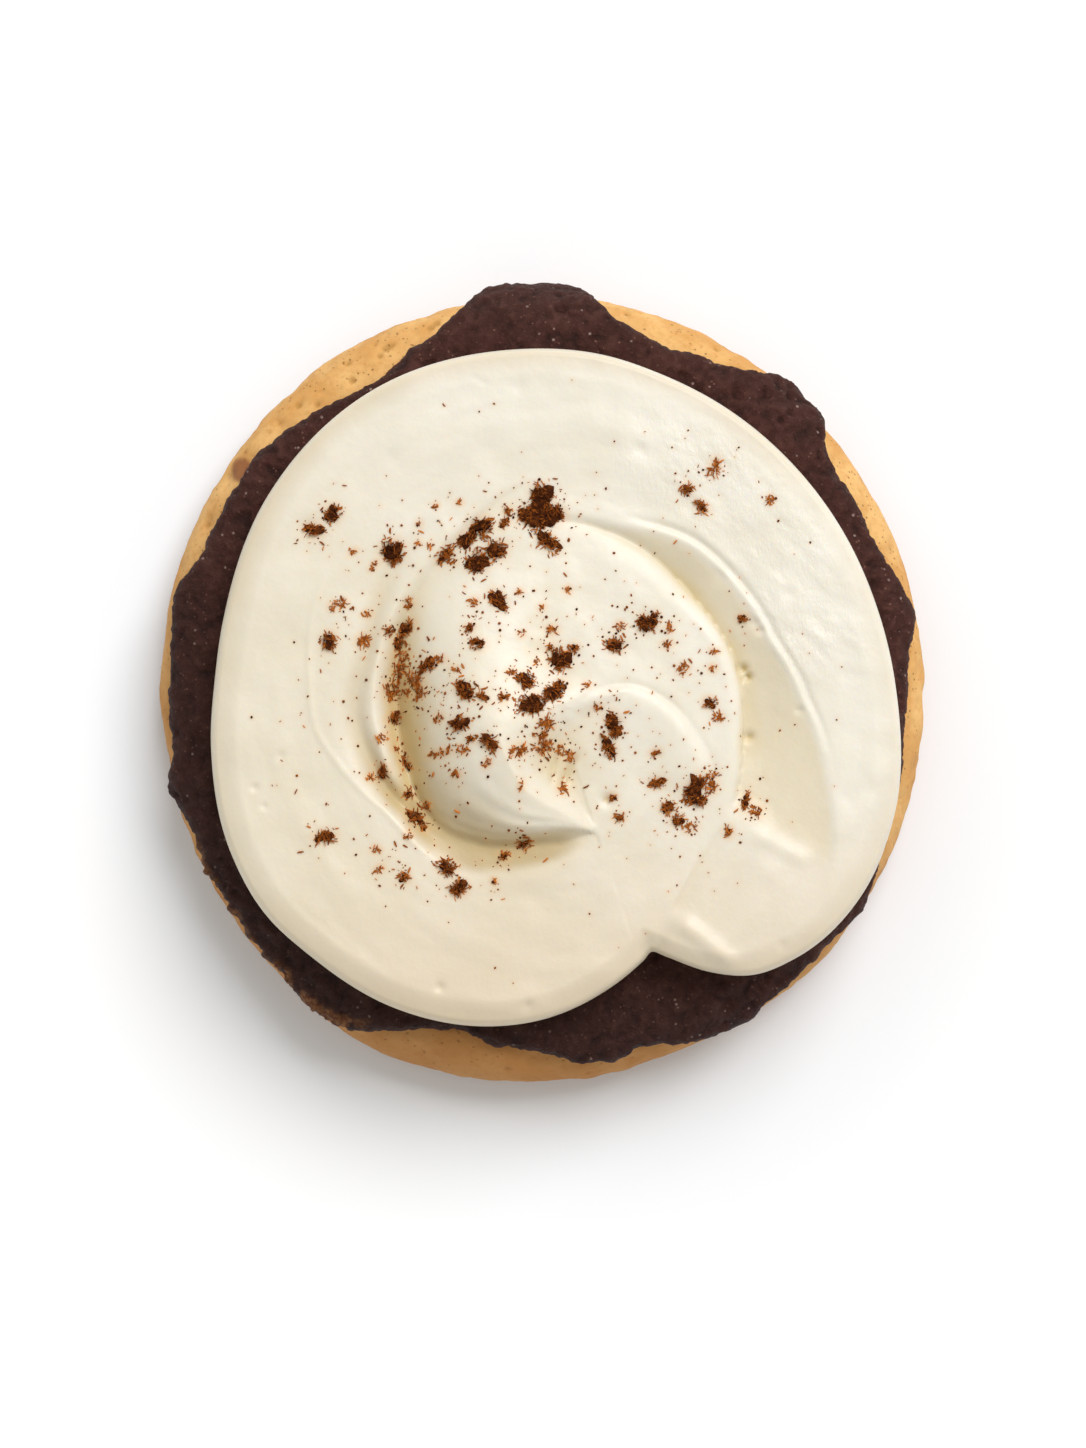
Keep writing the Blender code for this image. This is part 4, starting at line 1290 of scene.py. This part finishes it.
# %% A finish and its nodes
class Finish:
    """A material on one Principled shader."""

    def __init__(self, name, **constants):
        self.material = bpy.data.materials.new(name)
        self.material.use_nodes = True
        self.tree = self.material.node_tree
        self.shader = self.tree.nodes["Principled BSDF"]
        for socket, value in constants.items():
            self.shader.inputs[socket.replace("_", " ")].default_value = value
        self.place = self.node("ShaderNodeTexCoord", {}, {}, "Object")

    def node(self, kind, settings, values, output=0):
        """Adds a node: its settings first, then the values or links of its sockets."""
        node = self.tree.nodes.new(kind)
        for name, setting in settings.items():
            setattr(node, name, setting)
        for name, value in values.items():
            self.feed(node.inputs[name], value)
        return Value(self, node.outputs[output])

    def feed(self, socket, value):
        if isinstance(value, Value):
            self.tree.links.new(value.socket, socket)
        else:
            socket.default_value = value

    def noise(self, size, detail=2.0, rough=0.5, place=None):
        """Soft noise from 0 to 1 with blotches about size across."""
        values = {"Vector": place or self.place, "Scale": 1 / size, "Detail": detail, "Roughness": rough}
        return self.node("ShaderNodeTexNoise", {}, values)

    def cells(self, size, place=None):
        """Distance to the nearest of many scattered points about size apart."""
        return self.node("ShaderNodeTexVoronoi", {}, {"Vector": place or self.place, "Scale": 1 / size})

    def mix(self, share, first, second):
        """A colour between two colours."""
        return self.node("ShaderNodeMix", {"data_type": "RGBA"}, {0: share, 6: first, 7: second}, 2)

    def attribute(self, name):
        return self.node("ShaderNodeAttribute", {"attribute_name": name}, {}, "Fac")

    def measure(self, operation, *vectors):
        """A number from a Vector Math node, such as a length or a distance."""
        settings = {"operation": operation}
        return self.node("ShaderNodeVectorMath", settings, dict(enumerate(vectors)), "Value")

    def along(self, direction):
        """How far a point lies from the middle of the cookie, measured along a direction."""
        return self.measure("DOT_PRODUCT", self.place, direction)

    def bump(self, height, depth, below=None):
        """A bump of this depth in metres, over another bump if there is one."""
        values = {"Height": height, "Distance": depth, "Strength": 1.0}
        if below is not None:
            values["Normal"] = below
        return self.node("ShaderNodeBump", {}, values)

    def give(self, **sockets):
        for socket, value in sockets.items():
            self.feed(self.shader.inputs[socket.replace("_", " ")], value)


# %% Colours, and putting a finish on a piece
def colour(red, green, blue):
    """A colour from its 0 to 255 values, as a picture gives them."""
    shares = np.array([red, green, blue]) / 255
    light = np.where(shares <= 0.04045, shares / 12.92, ((shares + 0.055) / 1.055) ** 2.4)
    return (*light.tolist(), 1.0)


def dress(piece, finish):
    piece.data.materials.clear()
    piece.data.materials.append(finish.material)


# %% [markdown]
# Baked dough is matt. It is golden tan and mottled. Low down it is browner, partly where it was near the
# tray and partly as painted shade on its low side. Small pores show as darker dots, a painted shade
# inside them. The dents have a mark of their own for a painted shade inside them, and the smear has one
# for its colour. The dough is also painted darker towards the lower left, a painted shade on the side
# away from the light, so its colour changes along that direction.

# %% Finish of the biscuit
baked = Finish(
    "baked_biscuit", Roughness=0.8, Specular_IOR_Level=0.25, Subsurface_Weight=0.1, Subsurface_Scale=0.5 * MM
)
blotches = baked.noise(6 * MM, 3).step(0.35, 0.65)
fine = baked.noise(0.9 * MM, 4, 0.6)
height = baked.node("ShaderNodeSeparateXYZ", {}, {"Vector": baked.place}, "Z")
# Browner low down: partly real browning from the tray, partly painted shade on the low side.
browned_and_shaded = 1 - height.step(2.0 * MM, 9.0 * MM)
dough = baked.mix(blotches, colour(213, 158, 90), colour(230, 182, 115))
dough = baked.mix(fine.step(0.45, 0.75) * 0.5, dough, colour(198, 138, 72))
dough = baked.mix(browned_and_shaded * 0.7, dough, colour(174, 112, 54))
# Pores are painted darker, a painted shade inside them.
pores = 1 - baked.cells(0.75 * MM).step(0.10, 0.24)
pore_share = pores * baked.noise(2.2 * MM).step(0.46, 0.58)
dough = baked.mix(pore_share * 0.6, dough, colour(150, 96, 42))
# Painted shade inside the dents.
dough = baked.mix(baked.attribute("dent") * 0.6, dough, colour(172, 124, 58))
# Painted shade: the dough is darker on the side away from the light, towards the lower left.
side_toward_light = baked.along((0.35, 0.94, 0)).step(-50 * MM, 22 * MM)
dough = baked.mix((1 - side_toward_light) * 0.7, dough, colour(170, 112, 60))
smeared = baked.mix(fine, colour(84, 42, 30), colour(160, 98, 58))
dough = baked.mix(baked.attribute("smear") * 0.85, dough, smeared)
rough_skin = baked.bump(fine, 0.12 * MM)
baked.give(Base_Color=dough, Normal=baked.bump(1 - pore_share, 0.15 * MM, rough_skin))
dress(biscuit, baked)

# %% [markdown]
# The spread is nearly black with a purple-brown cast, satin rather than wet. Its sugar grains catch
# the light as tiny pale and reddish points, which are painted glints. Painted shade makes it darkest
# between its grains and towards the lower left, away from the light, and a painted highlight lightens
# the tops of its grains. It is redder where its edge is thin, and orange-brown on the dried fringe.

# %% Finish of the spread
paste = Finish("cinnamon_spread", Specular_IOR_Level=0.16)
patches = paste.noise(4 * MM, 3).step(0.3, 0.7)
grain_shading = paste.attribute("grain_shading")
fine_crumb = paste.noise(0.6 * MM, 5, 0.7)
brown = paste.mix(patches, colour(60, 31, 24), colour(69, 37, 30))
# Painted shade between the grains and a painted highlight on their tops.
brown = paste.mix((1 - grain_shading.step(0.1, 0.5)) * 0.7, brown, colour(30, 14, 11))
brown = paste.mix(grain_shading.step(0.5, 0.95) * 0.7, brown, colour(88, 54, 46))
brown = paste.mix(fine_crumb.step(0.5, 0.75) * 0.5, brown, colour(96, 60, 52))
# Painted glints: reddish and pale points where sugar grains catch the light.
red_grains = (1 - paste.cells(0.8 * MM).step(0.10, 0.26)) * paste.noise(1.3 * MM).step(0.46, 0.60)
brown = paste.mix(red_grains * 0.6, brown, colour(128, 90, 78))
pale_grains = (1 - paste.cells(1.5 * MM).step(0.08, 0.17)) * paste.noise(2.4 * MM).step(0.49, 0.60)
brown = paste.mix(pale_grains * 0.7, brown, colour(164, 140, 130))
brown = paste.mix(paste.attribute("thin") * 0.7, brown, colour(112, 52, 34))
crust = paste.mix(fine_crumb.step(0.4, 0.6), colour(134, 78, 46), colour(188, 130, 80))
brown = paste.mix(paste.attribute("orange") * 0.85, brown, crust)
# Painted shade: the spread is darker on the side away from the light, towards the lower left.
side_toward_light = paste.along((0.5, 0.85, 0)).step(-48 * MM, 22 * MM)
brown = paste.mix((1 - side_toward_light) * 0.5, brown, colour(30, 16, 13))
fine_bump = paste.bump(paste.noise(0.3 * MM, 2), 0.08 * MM)
paste.give(
    Base_Color=brown,
    Normal=paste.bump(fine_crumb, 0.25 * MM, fine_bump),
    Roughness=0.85 - fine_crumb * 0.4,
)
dress(spread, paste)

# %% [markdown]
# The frosting is ivory, smooth and slightly glossy, and light goes a little way into it, which softens
# its shadows. Subsurface scattering does that. It is painted paler towards the upper right, a painted
# light on the side towards the light, and creamier and darker at the lower edge, a painted shade. The
# marks for hollows, the valley and the rim mix in a yellower cream as painted shade, the stain mixes
# in a browner cream, and the crinkled patch gets fine veins as a bump.

# %% Finish of the frosting
cream = Finish(
    "cream_frosting",
    Roughness=0.42,
    Subsurface_Weight=0.35,
    Subsurface_Radius=(1.0, 0.75, 0.45),
    Subsurface_Scale=1.1 * MM,
)
butter = cream.noise(11 * MM, 2).step(0.3, 0.7)
# Painted light: the cream is paler on the side towards the light, at the upper right.
lit_side = cream.along((0.85, 0.53, 0)).step(-55 * MM, 42 * MM)
ivory = cream.mix(butter, colour(226, 215, 191), colour(229, 219, 198))
lit_ivory = cream.mix(butter, colour(232, 225, 208), colour(237, 231, 217))
ivory = cream.mix(lit_side, ivory, lit_ivory)
# Painted shade in hollows, pits and on the trough's slope.
ivory = cream.mix(cream.attribute("hollow") * 0.8, ivory, colour(212, 188, 130))
# Painted shade: creamier and darker towards the lower edge, away from the light.
shaded_low_side = cream.along((0.1, -0.99, 0)).step(10 * MM, 44 * MM)
ivory = cream.mix(shaded_low_side * 0.6, ivory, colour(220, 200, 170))
# Painted shadow in the groove at the left and below the tongue.
ivory = cream.mix(cream.attribute("valley") * 0.66, ivory, colour(182, 156, 102))
# Painted shade at the rim.
ivory = cream.mix(cream.attribute("rim") * 0.25, ivory, colour(200, 178, 138))
ivory = cream.mix(cream.attribute("stain") * 0.36, ivory, colour(234, 178, 108))
slant = {"Vector": cream.place, "Rotation": (0, 0, 0.9), "Scale": (1, 0.5, 1)}
vein_place = cream.node("ShaderNodeMapping", {}, slant)
vein_noise = cream.noise(0.8 * MM, 3, 0.6, vein_place)
veins = 1 - (vein_noise * 2 - 1).maths("ABSOLUTE")
crinkled = cream.attribute("crinkled") * veins
smooth_skin = cream.bump(cream.noise(1.1 * MM, 3), 0.05 * MM)
cream.give(
    Base_Color=ivory,
    Roughness=0.36 + cream.noise(3 * MM, 3) * 0.14,
    Normal=cream.bump(crinkled, 0.12 * MM, smooth_skin),
)
dress(frosting, cream)

# %% [markdown]
# Ground cinnamon is dry and matt. Thick heaps of it are dark, since light that gets in between the
# splinters doesn't come out, and lone splinters show bark's orange-brown. Each copy's own shade, kept
# as an attribute, says which it is.

# %% Finish of the cinnamon
bark = Finish("ground_cinnamon", Roughness=0.95, Specular_IOR_Level=0.08)
shade = bark.attribute("shade")
grain_noise = bark.noise(0.22 * MM, 2)
brown = bark.mix(shade.step(0.0, 0.5), colour(60, 27, 10), colour(142, 74, 24))
brown = bark.mix(shade.step(0.45, 1.0), brown, colour(216, 130, 54))
brown = bark.mix(grain_noise.step(0.5, 0.8) * shade.step(0.05, 0.5) * 0.4, brown, colour(178, 106, 46))
bark.give(Base_Color=brown, Normal=bark.bump(grain_noise, 0.05 * MM))
for piece in (clumps, specks, slivers):
    dress(piece, bark)

# %% [markdown]
# ## Which node each layer stands for
#
# Each of the three layers hides the plain node that it was shaped after. The cinnamon is powder,
# which has no node. The cookie moves as one body, the root.

# %% Hand the layers to the frame
LAYERS = (
    (biscuit, "biscuit", "baked_biscuit"),
    (spread, "cinnamon_spread", "cinnamon_spread"),
    (frosting, "cream_frosting", "cream_frosting"),
)
for piece, node, slot in LAYERS:
    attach(piece, "root")
    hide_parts(node)
for piece in (clumps, specks, slivers):
    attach(piece, "root")

# %% [markdown]
# ## Floor, light and camera
#
# The cookie lies on a plain white floor. It is painted a little bluer close to the cookie, a painted
# light against the warm light that the cookie throws on it, and a little greyer towards the bottom of
# the picture, a painted soft shadow. One broad, soft light stands high at the upper right, and nearly
# white surroundings fill the shadows. The camera looks straight down.

# %% Floor
SHADOW_MIDDLE = (0.010, -0.020, 0)

bpy.ops.object.select_all(action="DESELECT")
bpy.ops.mesh.primitive_plane_add(size=4.0, location=(0, 0, 0))
floor = bpy.context.active_object
floor.name = "floor"
paper = Finish("white_floor", Roughness=0.9)
from_middle = paper.measure("LENGTH", paper.place)
near_cookie = 1 - from_middle.step(50 * MM, 66 * MM)
# Painted light: bluer close to the cookie, against the warm light the cookie throws on the floor.
white = paper.mix(near_cookie, colour(250, 250, 250), colour(246, 251, 255))
# Painted shadow: greyer round SHADOW_MIDDLE, below the cookie.
from_shadow = paper.measure("DISTANCE", paper.place, SHADOW_MIDDLE)
shadowed = 1 - from_shadow.step(38 * MM, 62 * MM)
paper.give(Base_Color=paper.mix(shadowed, white, colour(243, 244, 245)))
dress(floor, paper)

# %% Light
LIGHT_FROM = (60, 51)
LIGHT_STRENGTH = 2.25
LIGHT_WIDTH = 36
SURROUNDINGS_STRENGTH = 0.54

azimuth, elevation = np.radians(LIGHT_FROM)
bpy.ops.object.light_add(type="SUN")
key_light = bpy.context.active_object
key_light.data.energy = LIGHT_STRENGTH
key_light.data.angle = np.radians(LIGHT_WIDTH)
key_light.data.color = (1.0, 1.0, 1.03)
level = np.cos(elevation)
towards = Vector((np.cos(azimuth) * level, np.sin(azimuth) * level, np.sin(elevation)))
key_light.rotation_mode = "QUATERNION"
key_light.rotation_quaternion = towards.to_track_quat("Z", "Y")
world = bpy.data.worlds.new("studio")
world.use_nodes = True
background = world.node_tree.nodes["Background"]
background.inputs["Color"].default_value = (1.0, 1.005, 0.97, 1.0)
background.inputs["Strength"].default_value = SURROUNDINGS_STRENGTH
bpy.context.scene.world = world
bpy.context.scene.view_settings.view_transform = "Standard"

# %% Camera
CAMERA_OVER = (-0.4 * MM, -4.4 * MM, 0.530)
LENS = 100
FILM_WIDTH = 36

bpy.ops.object.camera_add(location=CAMERA_OVER, rotation=(0, 0, 0))
camera = bpy.context.active_object
camera.data.lens = LENS
camera.data.sensor_width = FILM_WIDTH
bpy.context.scene.camera = camera

# %% Finish up
print("scene built")
